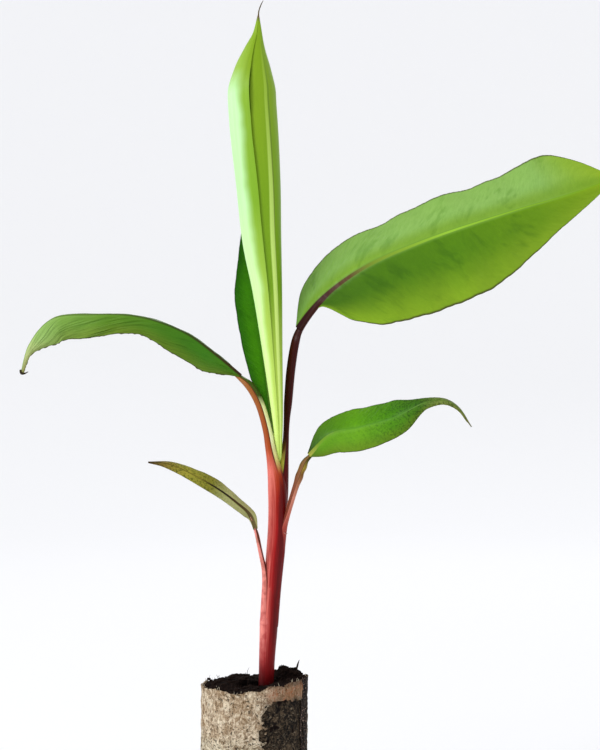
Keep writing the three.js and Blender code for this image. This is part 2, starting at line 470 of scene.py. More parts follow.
def in_millimetres(nodes):
    """Object coordinates in millimetres from the plug's foot."""
    where = nodes.add("ShaderNodeTexCoord").outputs["Object"]
    mapping = nodes.add("ShaderNodeMapping", None, Vector=where)
    mapping.inputs["Location"].default_value = -FOOT / mm
    mapping.inputs["Scale"].default_value = (1 / mm,) * 3
    part = nodes.add("ShaderNodeSeparateXYZ", None, Vector=mapping.outputs[0]).outputs
    return mapping.outputs[0], part


# ---------------------------------------------------------------- leaf finishes


def leaf_material(name, right, left=None, near_rib=None, toward_margin=None, rib=None, rib_width=0.7,
                  contrast=0.3, fold_shade=0.3, margin=None, specks=0.0, roughness=0.42, mottled=0.2):
    """A ribbed leaf face. right and left colour its halves from base to tip.

    near_rib is a colour, and its share beside the rib on the left half. toward_margin is a colour,
    its share at the right half's margin, and how much of that share the left half takes.
    """
    material, nodes, shader = new_material(name, roughness, 0.0, 0.14)
    _, length, width = uv_parts(nodes)
    veins, vein_count, out = uv_parts(nodes, "veins")
    spot, _ = in_millimetres(nodes)
    off_rib = nodes.times(nodes.distance(width, 0.5), 2.0)
    blade_share = nodes.range(out, 0.05, 0.2)
    on_left = nodes.range(width, 0.47, 0.53)
    colour = nodes.ramp(length, right)
    if left:
        colour = nodes.mix(on_left, colour, nodes.ramp(length, left))
    if toward_margin:
        tone, share, left_part = toward_margin
        half = nodes.range(width, 0.47, 0.53, 1.0, left_part)
        colour = nodes.mix(nodes.times(nodes.range(off_rib, 0.3, 1.0), share, half), colour, tone)
    if near_rib:
        tone, share = near_rib
        reach = nodes.range(off_rib, 0.1, 0.45, share, 0.0)
        colour = nodes.mix(nodes.times(reach, on_left), colour, tone)
    dark = nodes.shade(colour, 0.55, 0.66, 0.4)
    light = nodes.shade(colour, 1.3, 1.15, 1.3)
    streaks = nodes.group(STREAKS, Map=veins, Fineness=1.0, Stretch=2.2)
    patches = nodes.group(MOTTLE, Vector=spot, Blotch_Size=8.0, Speck_Size=0.9, Specks=specks)
    colour = nodes.mix(nodes.times(streaks["Tone"], contrast, blade_share), colour, dark)
    colour = nodes.mix(nodes.times(patches["Blotches"], mottled), colour, light)
    # Long soft folds that leave the rib and sweep out with the veins, darkened with painted shade.
    sweep = nodes.combine(nodes.times(vein_count, 0.22), nodes.times(out, 0.5), 3.0)
    fold = nodes.range(nodes.noise(sweep, 1.0, 3.0, 0.65, 0.3), 0.52, 0.68)
    colour = nodes.mix(nodes.times(fold, fold_shade, blade_share), colour, dark)
    if specks:
        speck_share = nodes.times(patches["Specks"], nodes.range(length, 0.2, 0.7, 0.15, 0.9))
        colour = nodes.mix(speck_share, colour, nodes.shade(dark, 0.6, 0.6, 0.5))
    if margin:
        colour = nodes.mix(nodes.range(off_rib, 0.955, 0.99, 0.0, 0.8), colour, margin)
    if rib:
        edge = nodes.range(length, 0.0, 0.9, rib_width * 0.15, rib_width * 0.04)
        from_rib = nodes.over(out, edge)
        shadow = nodes.times(nodes.range(from_rib, 1.0, 2.2, 0.6, 0.0), nodes.range(width, 0.495, 0.505))
        colour = nodes.mix(shadow, colour, dark)
        colour = nodes.mix(nodes.range(from_rib, 0.75, 1.15, 1.0, 0.0), colour, nodes.ramp(length, rib))
    nodes.put(shader["Base Color"], colour)
    uneven = nodes.range(streaks["Tone"], 0.0, 1.0, roughness - 0.04, roughness + 0.1)
    nodes.put(shader["Roughness"], uneven)
    height = nodes.plus(streaks["Height"], nodes.times(fold, -0.6))
    relief(nodes, shader, nodes.times(height, blade_share), 0.45, 0.5)
    return material


def plain_margin(name, colour):
    """The thin cut edge of a blade."""
    material, nodes, shader = new_material(name, 0.5)
    spot, _ = in_millimetres(nodes)
    tone = nodes.noise(spot, 0.6, 2.0)
    nodes.put(shader["Base Color"], nodes.mix(tone, colour, tuple(c * 1.8 for c in colour[:3]) + (1,)))
    return material


# ---------------------------------------------------------------- organs: sheath, stalk and rib


FRONT = ((0, -1, 0.1), (0, -1, 0.1))  # an organ's face that looks to the front all along
CHANNEL_FROM = 0.6  # the share of a tube's radius above which its top is pressed in


def organ(name, points, face, rows=90, columns=16, opens=None, depth=0.4):
    """One leaf's sheath, stalk and rib: a tube through (x, y, z, radius) points.

    face is where the upper side looks at the foot and at the tip. opens is between which heights
    the upper side, a closed round below, becomes a channel, pressed in to depth of its height.
    """
    line = Line(points)
    radius = through([(share, p[3]) for share, p in zip(line.shares, points)])
    edit, lines = strip(name, rows, columns)
    roll(edit, lines, columns)
    base_face, tip_face = Vector(face[0]), Vector(face[1])
    for share, row in lines:
        start = Vector((share - 0.5, 0, 0))
        centre = line.at(share)
        if opens:
            # The seam is on top, in the middle of the channel.
            done = min(1.0, max(0.0, (centre.z - opens[0]) / (opens[1] - opens[0])))
            edit.pick([v for v in row if v.co.z > CHANNEL_FROM])
            pressed = 1 + (depth - 1) * done
            edit.grow((1, 1, pressed), start)
        width = radius(share) * mm
        edit.pick(row)
        edit.grow((1, width, width), start)
        lay_row(edit, row, start, place(*centre), axes(line.along(share), base_face.lerp(tip_face, share)))
    edit.pick(edit.mesh.verts)
    bpy.ops.mesh.remove_doubles(threshold=0.0001 * mm)
    piece = edit.done()
    close_ends(piece)
    smooth(piece)
    return piece


def close_ends(piece):
    """Fills the open ends of a tube, and turns its faces out."""
    edit = Edit(piece)
    bpy.ops.mesh.select_all(action="SELECT")
    bpy.ops.mesh.region_to_loop()
    bpy.ops.mesh.fill()
    bpy.ops.mesh.select_all(action="SELECT")
    bpy.ops.mesh.normals_make_consistent(inside=False)
    edit.done()


# ---------------------------------------------------------------- blades


BLADE_THICK = 0.4  # millimetres


def blade(name, leaf, rows, columns=24, bumps=0.3):
    """A leaf blade: a strip whose halves are curled and folded, laid along the rib row by row."""
    line = Line(leaf["rib"])
    middle = columns // 2
    widths = {1: through(leaf["left"]), -1: through(leaf["right"])}
    droop = {1: through(leaf["droop_left"]), -1: through(leaf["droop_right"])}
    groove = through(leaf["groove"])
    face = [Vector(f) for f in leaf["face"]]
    edit, lines = strip(name, rows, columns)
    for way, curl in zip((1, -1), leaf["curl"]):
        bend_half(edit, lines, columns, way, [0.0] + [math.radians(curl) / (middle - 1)] * (middle - 1))
    rng = random.Random(name)
    phases = [rng.uniform(0, 6.28) for _ in range(6)]
    for share, row in lines:
        start = Vector((share - 0.5, 0, 0))
        lip = groove(share) * mm
        for way in (1, -1):
            half = row[middle + 1:] if way > 0 else row[:middle]
            # The margin swells in slow and quick waves, and is nicked in places.
            swell = math.sin(19 * share + phases[0 if way > 0 else 1]) * 2.2
            swell += math.sin(47 * share + phases[2 if way > 0 else 3]) * 1.1
            angle = math.radians(droop[way](share) + swell * math.sin(math.pi * share))
            nick = 1 + 0.012 * math.sin(131 * share + phases[4]) * math.sin(61 * share + phases[5])
            width = widths[way](share) * nick * mm
            edit.pick(half)
            edit.grow((1, width, width), start)
            edit.turn(-way * angle, "X", start)
            edit.shift((0, way * lip, 0))
        edit.pick([row[middle]])
        edit.shift((0, 0, -0.75 * lip))
        where = axes(line.along(share), face[0].lerp(face[1], share))
        lay_row(edit, row, start, place(*line.at(share)), where)
    piece = edit.done()
    vein_map(piece, line.length, widths, leaf["spacing"], leaf["sweep"])
    veined_group(piece, widths, rows, middle)
    smooth(piece, 2)
    ripple = clouds(name + "_ripple", 0.9, 1)
    apply(piece, "DISPLACE", texture=ripple, texture_coords="UV", uv_layer="veins", vertex_group="veined",
          strength=bumps * mm)
    apply(piece, "SOLIDIFY", thickness=BLADE_THICK * mm, offset=-1, material_offset=1,
          material_offset_rim=2)
    return piece


def veined_group(piece, widths, rows, middle):
    """The veins stand out where the blade is wide, and not on its rib."""
    veined = piece.vertex_groups.new(name="veined")
    for vert in piece.data.vertices:
        column, row = divmod(vert.index, rows + 1)
        steps_out = abs(column - middle)
        wide = min(widths[1](row / rows), widths[-1](row / rows))
        veined.add([vert.index], min(1.0, steps_out / 4) * min(1.0, wide / 6), "REPLACE")


def vein_map(piece, length, widths, spacing, sweep):
    """A second map: X counts the side veins, Y is the way off the rib in tens of millimetres."""
    choose(piece)
    along = piece.data.uv_layers["along"]
    veins = piece.data.uv_layers.new(name="veins")
    for old, new in zip(along.data, veins.data):
        off_rib = abs(old.uv.y - 0.5) * 2
        width = widths[1 if old.uv.y > 0.5 else -1](old.uv.x)
        new.uv = ((old.uv.x * length - sweep * off_rib ** 1.3) / spacing, off_rib * width / 10)
    piece.data.uv_layers.active = along


# ---------------------------------------------------------------- the leaves' tables

# rib: the midrib's points. face: where the upper side looks at base and tip. left, right: the
# half widths, as (share of the length, width) stops. droop: how many degrees a half leans down.
# groove: half the channel's width over the rib. spacing, sweep: the side veins' spread and lean.
LEAVES = {
    "right": {
        "rib": [(21, -1, 245.6), (31.6, -3, 259.7), (51, -6, 274.3), (80, -8, 287.2), (124, -5, 302),
                (150, 1, 309.8), (173.6, 8, 318.6)],
        "face": [(0.1, -0.87, 0.5), (0, -0.99, 0.1)],
        "left": [(0, 0.7), (0.04, 7.2), (0.1, 17.5), (0.2, 25.5), (0.43, 27.2), (0.6, 25.2), (0.76, 28.4),
                 (0.86, 30.5), (0.94, 19), (0.98, 7), (1, 0.5)],
        "right": [(0, 0.4), (0.085, 1.0), (0.13, 17), (0.24, 29.5), (0.43, 33.5), (0.54, 32.5),
                  (0.7, 23.5), (0.82, 13.2), (0.92, 6), (1, 0.5)],
        "droop_left": [(0, 34), (0.5, 31), (1, 30)],
        "droop_right": [(0, 10), (0.5, 14), (1, 14)],
        "curl": (4, 12),
        "groove": [(0, 1.3), (0.15, 0.8), (0.5, 0.45), (1, 0.15)],
        "spacing": 2.6,
        "sweep": 17,
    },
    "left": {
        "rib": [(-6.4, 2.6, 224), (-19, 4.5, 234.4), (-34, 6.5, 244.8), (-56, 9, 252.2), (-80, 12, 253.2),
                (-99, 14.5, 251), (-109.8, 16, 239), (-114.2, 17, 224.3)],
        "face": [(-0.2, -0.45, 0.85), (-0.7, -0.6, 0.3)],
        "left": [(0, 1.2), (0.15, 11.6), (0.26, 12.2), (0.42, 8.8), (0.7, 12.2), (0.8, 11.8), (0.88, 6.4),
                 (0.93, 2.4), (1, 1.3)],
        "right": [(0, 1.0), (0.15, 11), (0.3, 13.5), (0.5, 12.5), (0.75, 11.5), (0.88, 4.5), (1, 0.9)],
        "droop_left": [(0, 48), (1, 48)],
        "droop_right": [(0, 52), (0.6, 48), (1, 50)],
        "curl": (14, 14),
        "groove": [(0, 0.5), (0.2, 0.45), (0.6, 0.35), (1, 0.2)],
        "spacing": 7,
        "sweep": 58,
    },
    "low_right": {
        "rib": [(25.9, -9.2, 186), (35.7, -12, 196), (49.7, -15, 199.6), (66, -19, 204.4),
                (80, -22, 211.2), (89, -24, 212), (95, -25.5, 208.6), (100.8, -27, 200)],
        "face": [(-0.2, -0.9, 0.45), (0.35, -0.75, 0.6)],
        "left": [(0, 0.9), (0.15, 8.6), (0.32, 13), (0.51, 11), (0.69, 3.4), (0.88, 1.2), (1, 0.3)],
        "right": [(0, 0.6), (0.06, 6.0), (0.15, 9.4), (0.32, 11), (0.51, 9), (0.69, 3.2), (0.88, 1.3),
                  (1, 0.3)],
        "droop_left": [(0, 14), (0.7, 16), (1, 45)],
        "droop_right": [(0, 20), (0.7, 22), (1, 50)],
        "curl": (8, 10),
        "groove": [(0, 0.6), (0.2, 0.2), (1, 0.08)],
        "spacing": 2.0,
        "sweep": 8,
    },
    "low_left": {
        "rib": [(0.6, -5.4, 150.8), (-2.2, -8, 158.4), (-8, -10.5, 164), (-16.5, -14, 170.6),
                (-33.6, -19.5, 180.4), (-41, -21, 183), (-48.5, -23, 183.6)],
        "face": [(-0.3, -0.5, 0.8), (-0.2, -0.6, 0.75)],
        "left": [(0, 0.5), (0.2, 2.8), (0.5, 3.4), (0.8, 2.6), (1, 0.5)],
        "right": [(0, 0.5), (0.2, 3.4), (0.5, 4.6), (0.8, 2.8), (1, 0.5)],
        "droop_left": [(0, 42), (1, 38)],
        "droop_right": [(0, 10), (0.5, -12), (1, 20)],
        "curl": (14, 14),
        "groove": [(0, 0.7), (0.4, 0.4), (1, 0.15)],
        "spacing": 1.6,
        "sweep": 4,
    },
    "back": {
        "rib": [(10.3, 5.4, 196), (8.9, 6.4, 204.4), (5.8, 8.5, 226), (1.0, 11.5, 256), (-2.6, 13.5, 279),
                (-5.6, 15, 296.8)],
        "face": [(0.1, -1, 0.1), (0.1, -1, 0.1)],
        "left": [(0, 0.8), (0.05, 2.2), (0.12, 3.9), (0.2, 6.2), (0.3, 8.8), (0.6, 10.8), (0.85, 5.2),
                 (1, 0.3)],
        "right": [(0, 0.8), (0.1, 3.0), (0.3, 6), (0.6, 7.6), (0.85, 4.2), (1, 0.3)],
        "droop_left": [(0, -16), (1, -16)],
        "droop_right": [(0, -16), (1, -16)],
        "curl": (-10, -10),
        "groove": [(0, 1.0), (0.5, 0.6), (1, 0.2)],
        "spacing": 1.8,
        "sweep": 7,
    },
}


RIB_STEPS = 8
RIB_END = 0.97  # the share of a blade's length that its rib runs along


def under_rib(leaf, thick, sunk=0.5):
    """The rib's points under a blade: its own points, lowered to lie below the channel."""
    line = Line(leaf["rib"])
    face = [Vector(f) for f in leaf["face"]]
    radius = through(thick)
    made = []
    for n in range(RIB_STEPS + 1):
        share = n / RIB_STEPS * RIB_END
        up = axes(line.along(share), face[0].lerp(face[1], share))[2]
        size = radius(share)
        made.append((*(line.at(share) - up * (size * 1.15 + sunk * (0.2 + share))), size))
    return made


# ---------------------------------------------------------------- colours

# A painted highlight's salmon and a painted shade's crimson, for the stem's left and right.
SALMON_HIGHLIGHT = tint(222, 118, 106)
CRIMSON_SHADE = tint(88, 6, 9)
BROWN_LINE = tint(60, 24, 14)
MARGIN = tint(52, 34, 22)

# The stem's middle line, in millimetres, for the painted highlight on its left and the painted shade on its
# right.
STEM_LEAN = 0.0583  # how far it moves to the right for each millimetre up
STEM_START = 1.08  # how far right of the plug's axis it would be at the plug's foot
STEM_HALF_WIDTH = 4.4
FORK = (176, 190)  # the heights over which the stem parts into its stalks
PAINTED_LIGHT_STARTS = (83, 103)  # the heights over which the stem's dark foot turns into its painted highlight and painted shade


def stem_painted_light(nodes, colour, part, streaks, patches, painted_light, highlight_at, patchy):
    """A painted highlight on the stem's left and painted shade on its right, ragged along the streaks."""
    # pale is the painted highlight's colour and dark the painted shade's.
    pale, dark = painted_light
    middle = nodes.plus(nodes.times(part[2], STEM_LEAN), STEM_START)
    across = nodes.over(nodes.minus(part[0], middle), STEM_HALF_WIDTH)
    ragged = nodes.plus(across, nodes.times(nodes.minus(streaks["Tone"], 0.5), 0.45))
    stem_only = nodes.times(nodes.range(part[2], *FORK, 1.0, 0.0), nodes.range(part[2], *PAINTED_LIGHT_STARTS))
    # on_left places the painted highlight and on_right the painted shade.
    on_left = nodes.times(nodes.range(ragged, *highlight_at, 0.85, 0.0), stem_only)
    on_right = nodes.times(nodes.range(ragged, 0.0, 0.6, 0.0, 0.9), stem_only)
    if patchy:
        on_left = nodes.times(on_left, nodes.range(patches["Blotches"], 0.0, 0.7, 1 - patchy, 1.0))
    return nodes.mix(on_right, nodes.mix(on_left, colour, pale), dark)


def stem_material(name, outside, inside=None, opens=None, edge=None, painted_light=None, gloss=0.15,
                  roughness=0.32, highlight_at=(-0.8, -0.3), patchy=0.0):
    """A skin with lengthwise streaks. outside and inside are (height, red, green, blue) stops.

    inside colours the channel where it opens and edge draws its lips. The pair of tones after edge
    is a painted highlight for the stem's left and painted shade for its right.
    """
    material, nodes, shader = new_material(name, roughness, gloss, 0.1)
    spot, part = in_millimetres(nodes)
    _, length, width = uv_parts(nodes)

    def by_height(stops):
        low, high = stops[0][0], stops[-1][0]
        share = nodes.over(nodes.minus(part[2], low), high - low, clamp=True)
        return nodes.ramp(share, [((z - low) / (high - low), *tone) for z, *tone in stops])

    colour = by_height(outside)
    skin = nodes.combine(nodes.times(width, 9.0), nodes.times(length, 14.0))
    streaks = nodes.group(STREAKS, Map=skin, Fineness=2.2, Stretch=0.5)
    patches = nodes.group(MOTTLE, Vector=spot, Blotch_Size=4.0, Speck_Size=0.8, Specks=0.3)
    if painted_light:
        colour = stem_painted_light(nodes, colour, part, streaks, patches, painted_light, highlight_at, patchy)
    if inside:
        on_top = nodes.distance(width, 0.5)
        opened = nodes.range(part[2], *opens)
        channel = nodes.times(nodes.range(on_top, 0.39, 0.41), opened)
        colour = nodes.mix(channel, colour, by_height(inside))
        lip = nodes.range(nodes.distance(on_top, 0.385), 0.012, 0.03, 0.9, 0.0)
        broken = nodes.range(patches["Blotches"], 0.0, 1.0, 0.6, 1.0)
        colour = nodes.mix(nodes.times(lip, broken, opened), colour, edge)
    dark = nodes.shade(colour, 0.5, 0.35, 0.4)
    light = nodes.shade(colour, 1.5, 1.7, 1.6)
    colour = nodes.mix(nodes.times(streaks["Tone"], 0.4), colour, dark)
    pale_share = nodes.times(nodes.range(streaks["Height"], 0.5, 0.62), 0.5, patches["Blotches"])
    colour = nodes.mix(pale_share, colour, light)
    nodes.put(shader["Base Color"], colour)
    relief(nodes, shader, streaks["Height"], 0.35, 0.45)
    return material


# ---------------------------------------------------------------- the stem and the leaf organs


def build_right_stalk():
    """The large leaf's sheath, on the stem's right, with its maroon stalk and its rib."""
    points = [(5.5, -0.9, SOIL_TOP - 3, 3.6), (6.1, -0.8, 90, 3.9), (7.0, -0.7, 104, 4.2),
              (7.9, -0.6, 118, 4.15), (8.9, -0.6, 130, 4.1), (11.1, -0.1, 152, 4.3),
              (12.2, 0.4, 166, 4.0), (13.3, 0.7, 175, 3.1), (14.1, 1.0, 184, 2.3), (14.8, 1.6, 191, 1.65),
              (15.1, 2.0, 197, 1.45), (15.4, 2.0, 203, 1.6), (16.0, 2.0, 211, 2.1),
              (17.4, 1.0, 227, 2.25), (19.6, -0.5, 240, 2.1)]
    points += under_rib(LEAVES["right"], [(0, 1.7), (0.15, 1.2), (0.5, 0.8), (1, 0.3)])
    face = ((-0.75, -0.6, 0.1), (0, -0.95, 0.25))
    piece = organ("stalk_right", points, face, rows=160, opens=(170, 190), depth=0.5)
    skin = stem_material(
        "dark_stalk_skin",
        [(76, 50, 4, 6), (84, 118, 8, 12), (100, 142, 12, 16), (150, 142, 14, 16), (166, 104, 12, 8),
         (178, 66, 10, 6), (246, 58, 9, 5), (262, 84, 40, 14), (276, 104, 120, 30), (320, 130, 170, 60)],
        inside=[(166, 120, 90, 24), (174, 150, 146, 50), (182, 150, 150, 48), (188, 96, 66, 18),
                (194, 54, 10, 5), (330, 60, 14, 8)],
        # Painted salmon highlight on the stem's left and painted crimson shade on its right.
        opens=(168, 172), edge=tint(36, 8, 5), painted_light=(SALMON_HIGHLIGHT, CRIMSON_SHADE), gloss=0.04, roughness=0.34,
        highlight_at=(-0.75, 0.25),
    )
    settle(piece, ["petiole_right"], [skin])


def build_left_stalk():
    """The left leaf's sheath, which is the front of the stem, with its stalk and its rib."""
    points = [(6.9, -0.7, 100, 3.4), (8.2, -0.7, 118, 3.9), (9.1, -0.7, 130, 4.35),
              (11.0, -0.2, 152, 4.7), (11.1, -0.1, 168, 4.8), (10.3, -0.4, 176, 4.15),
              (8.8, -0.6, 184, 3.15), (7.7, -0.7, 190, 2.75), (6.3, -0.4, 198, 2.5),
              (2.6, 0.6, 210.5, 2.5), (-2.4, 1.6, 219, 2.4)]
    points += under_rib(LEAVES["left"], [(0, 1.5), (0.07, 0.8), (0.3, 0.5), (1, 0.25)], 1.0)
    face = ((0.95, -0.28, 0.1), (-0.3, -0.5, 0.8))
    piece = organ("stalk_left", points, face, rows=140, opens=(174, 188), depth=0.7)
    skin = stem_material(
        "red_sheath_skin",
        [(100, 152, 18, 22), (150, 152, 16, 16), (166, 158, 30, 14), (180, 176, 66, 26),
         (196, 150, 70, 22), (222, 146, 92, 40), (236, 70, 90, 20), (256, 100, 140, 44)],
        inside=[(172, 190, 130, 70), (184, 216, 206, 120), (194, 246, 250, 196), (209, 236, 236, 176),
                (214, 64, 84, 24), (256, 90, 110, 40)],
        # Painted salmon highlight on the stem's left and painted crimson shade on its right.
        opens=(176, 184), edge=BROWN_LINE, painted_light=(SALMON_HIGHLIGHT, CRIMSON_SHADE), gloss=0.08, roughness=0.34,
        highlight_at=(-0.85, 0.05),
    )
    settle(piece, ["pseudostem", "petiole_left"], [skin])


def build_low_left_stalk():
    """The old leaf's short sheath low on the stem, and its thin stalk."""
    points = [(5.2, -1.1, SOIL_TOP - 3, 3.35), (5.6, -1.2, 90, 3.45), (5.9, -1.4, 104, 3.5),
              (5.8, -1.5, 107.5, 3.4), (5.2, -1.9, 110.5, 2.4), (5.3, -2.3, 118, 2.05),
              (5.6, -2.7, 126, 1.95), (5.0, -3.1, 132, 1.6), (3.7, -3.7, 138, 1.4),
              (2.4, -4.4, 144, 1.25)]
    points += under_rib(LEAVES["low_left"], [(0, 1.0), (0.3, 0.6), (1, 0.25)])
    face = ((0.9, 0.1, 0.3), (-0.3, -0.5, 0.8))
    piece = organ("stalk_low_left", points, face, rows=120, opens=(108, 112))
    skin = stem_material(
        "low_left_sheath_skin",
        [(76, 50, 4, 6), (83, 104, 8, 12), (90, 150, 22, 28), (104, 172, 46, 46), (112, 168, 60, 56),
         (126, 156, 72, 58), (137, 146, 86, 62), (146, 140, 100, 66), (150, 50, 30, 16),
         (156, 112, 112, 50), (184, 100, 92, 40)],
        inside=[(108, 70, 12, 12), (140, 100, 40, 30), (184, 96, 84, 36)],
        opens=(109, 112), edge=BROWN_LINE, gloss=0.06, roughness=0.36,
        # A painted pink highlight on the sheath's left, broken into patches, and painted dark shade on its
        # right.
        painted_light=(tint(228, 140, 130), tint(124, 16, 20)), highlight_at=(-0.8, 0.05), patchy=0.5,
    )
    settle(piece, ["petiole_low_left"], [skin])


def build_low_right_stalk():
    """The small right leaf's sheath, and its short stalk with the bend."""
    points = [(8.2, -0.7, 104, 3.2), (9.7, -0.8, 124, 3.3), (11.4, -0.9, 138, 3.1),
              (12.7, -1.4, 147, 2.5), (14.6, -3.0, 155, 1.85), (17.9, -5.2, 166, 1.7),
              (19.8, -6.5, 172, 1.75), (21.1, -7.2, 175.8, 2.25), (21.9, -7.6, 178.2, 1.85),
              (22.9, -8.0, 180.4, 2.2), (24.2, -8.5, 183.4, 1.6)]
    points += under_rib(LEAVES["low_right"], [(0, 1.1), (0.3, 0.6), (1, 0.2)])
    face = ((-0.75, -0.25, 0.5), (0, -0.8, 0.5))
    piece = organ("stalk_low_right", points, face, rows=120, opens=(150, 158))
    skin = stem_material(
        "low_right_sheath_skin",
        [(104, 104, 8, 10), (140, 112, 12, 12), (152, 170, 74, 62), (166, 200, 130, 108),
         (172, 168, 110, 78), (177, 120, 84, 30), (180, 150, 130, 40), (184, 60, 60, 12),
         (192, 90, 130, 20), (212, 110, 130, 50)],
        inside=[(150, 110, 40, 30), (170, 130, 76, 54), (212, 96, 110, 30)],
        opens=(148, 154), edge=BROWN_LINE, gloss=0.04, roughness=0.4,
    )
    settle(piece, ["petiole_low_right"], [skin])


def build_back_stalk():
    """The stalk of the leaf behind the rolled one."""
    points = [(11.6, 2.2, 160, 1.4), (11.2, 3.5, 176, 1.6), (10.6, 4.8, 188, 2.1)]
    points += under_rib(LEAVES["back"], [(0, 2.0), (0.12, 1.1), (0.5, 0.6), (1, 0.25)])
    face = ((0, -1, 0.1), (0.1, -1, 0.1))
    piece = organ("stalk_back", points, face, rows=80, opens=(170, 180))
    skin = stem_material(
        "back_stalk_skin",
        [(160, 130, 60, 30), (186, 206, 214, 120), (198, 170, 196, 90), (206, 80, 136, 24),
         (300, 70, 124, 24)],
    )
    settle(piece, ["petiole_back"], [skin])


def build_sheath_scar():
    """The dry scar of an old sheath, on the stem's right."""
    points = [(13.9, -3.9, 149.4, 0.12), (14.6, -3.6, 148.6, 0.3), (15.3, -2.8, 148.4, 0.22),
              (15.6, -2.2, 148.8, 0.1)]
    piece = organ("sheath_scar", points, FRONT, rows=14, columns=8)
    skin = stem_material("scar_skin", [(147, 190, 130, 120), (150, 170, 100, 90)], gloss=0.0)
    settle(piece, [], [skin])


def build_dry_tip():
    """The left leaf's dry, curled tip."""
    points = [(-114.2, 17.0, 226.4, 0.5), (-113.6, 16.8, 224.7, 0.75), (-112.2, 16.6, 224.5, 0.5),
              (-110.2, 16.4, 225.4, 0.15)]
    piece = organ("dry_tip_of_left_leaf", points, FRONT, rows=16, columns=8)
    skin = stem_material("dry_tip_skin", [(223, 36, 32, 22), (227, 60, 54, 36)], gloss=0.0, roughness=0.8)
    settle(piece, [], [skin])


def build_organs():
    """The overlapping sheaths that make the stem, each running on into its stalk and rib."""
    build_right_stalk()
    build_left_stalk()
    build_low_left_stalk()
    build_low_right_stalk()
    build_back_stalk()
    build_sheath_scar()
    build_dry_tip()


def build_right_blade(under, edge):
    """The large leaf: a deep green half, partly painted shade, a paler one, partly painted light, and a rib
    that starts maroon.
    """
    face = leaf_material(
        "right_leaf_face",
        # The lower half's dark green near the base and the rib is partly painted shade.
        right=[(0, 50, 88, 4), (0.25, 66, 110, 5), (0.5, 78, 124, 7), (0.75, 98, 140, 10),
               (1, 130, 164, 20)],
        # The upper half's pale green is partly a waxy bloom and partly painted light from above.
        left=[(0, 112, 156, 66), (0.3, 128, 172, 82), (0.8, 134, 178, 88), (0.9, 132, 170, 52),
              (1, 138, 170, 26)],
        # toward_margin brightens the lower half toward its margin with painted light shining through the
        # leaf.
        near_rib=(tint(112, 152, 34), 0.8), toward_margin=(tint(126, 162, 28), 0.9, 0.12),
        rib=[(0, 40, 6, 4), (0.12, 56, 14, 6), (0.2, 80, 54, 12), (0.28, 108, 134, 28),
             (0.5, 140, 186, 52), (0.85, 116, 160, 30), (1, 126, 164, 24)],
        rib_width=0.62, contrast=0.22, fold_shade=0.6, margin=MARGIN,
    )
    settle(blade("blade_right", LEAVES["right"], 88), ["leaf_right"], [face, under, edge])


def build_left_blade(under, edge):
    """The arching left leaf, with its long, deep veins."""
    face = leaf_material(
        "left_leaf_face",
        right=[(0, 50, 84, 14), (0.3, 56, 96, 12), (1, 110, 140, 56)],
        left=[(0, 60, 104, 10), (0.15, 48, 104, 4), (0.35, 62, 110, 10), (0.55, 84, 126, 26),
              (0.72, 112, 152, 62), (0.84, 136, 172, 92), (0.92, 176, 190, 126), (1, 140, 140, 80)],
        toward_margin=(tint(112, 116, 34), 0.35, 1.0),
        rib=[(0, 54, 34, 12), (0.3, 50, 66, 14), (0.7, 84, 110, 40), (1, 120, 150, 80)],
        rib_width=0.4, contrast=0.42, fold_shade=0.85, margin=MARGIN, mottled=0.3,
    )
    nodes = ["leaf_left_inner", "leaf_left_tip"]
    settle(blade("blade_left", LEAVES["left"], 80, bumps=1.0), nodes, [face, under, edge])


def build_low_right_blade(under, edge):
    """The small right leaf, with its hanging tip."""
    face = leaf_material(
        "low_right_leaf_face",
        right=[(0, 70, 100, 14), (0.08, 88, 140, 18), (0.3, 96, 152, 20), (0.5, 72, 130, 8),
               (0.66, 56, 100, 8), (0.76, 104, 124, 52), (0.92, 104, 112, 52), (1, 84, 50, 26)],
        # The left half's near-black base is painted shade in the folded wing.
        left=[(0, 30, 44, 8), (0.06, 50, 90, 10), (0.3, 88, 148, 14), (0.5, 64, 124, 4),
              (0.66, 48, 94, 8), (0.76, 96, 116, 48), (0.92, 104, 112, 52), (1, 84, 50, 26)],
        toward_margin=(tint(96, 104, 20), 0.45, 0.2),
        # The rib's pale yellow base is a painted highlight.
        rib=[(0, 150, 150, 60), (0.08, 100, 136, 24), (0.25, 84, 140, 16), (0.5, 66, 124, 8),
             (1, 90, 100, 40)],
        rib_width=0.3, contrast=0.25, fold_shade=0.35, margin=MARGIN, specks=0.9,
    )
    nodes = ["leaf_low_right", "leaf_low_right_tip"]
    settle(blade("blade_low_right", LEAVES["low_right"], 60), nodes, [face, under, edge])


def build_low_left_blade(edge):
    """The old, olive leaf, paler underneath."""
    face = leaf_material(
        "old_leaf_face",
        right=[(0, 150, 150, 96), (0.35, 160, 162, 104), (0.5, 124, 122, 36), (0.7, 150, 146, 50),
               (0.88, 120, 104, 40), (1, 56, 34, 16)],
        rib=[(0, 100, 90, 50), (0.3, 60, 44, 16), (0.36, 30, 20, 8), (0.5, 40, 28, 10),
             (0.6, 120, 110, 36), (1, 60, 40, 16)],
        rib_width=0.3, contrast=0.35, margin=MARGIN, specks=0.9, roughness=0.55, mottled=0.5,
    )
    pale = leaf_material("old_leaf_underside", [(0, 150, 152, 92), (1, 150, 142, 84)], contrast=0.4,
                         specks=1.0, roughness=0.6, mottled=0.5)
    piece = blade("blade_low_left", LEAVES["low_left"], 48, 16)
    settle(piece, ["leaf_low_left"], [face, pale, edge])


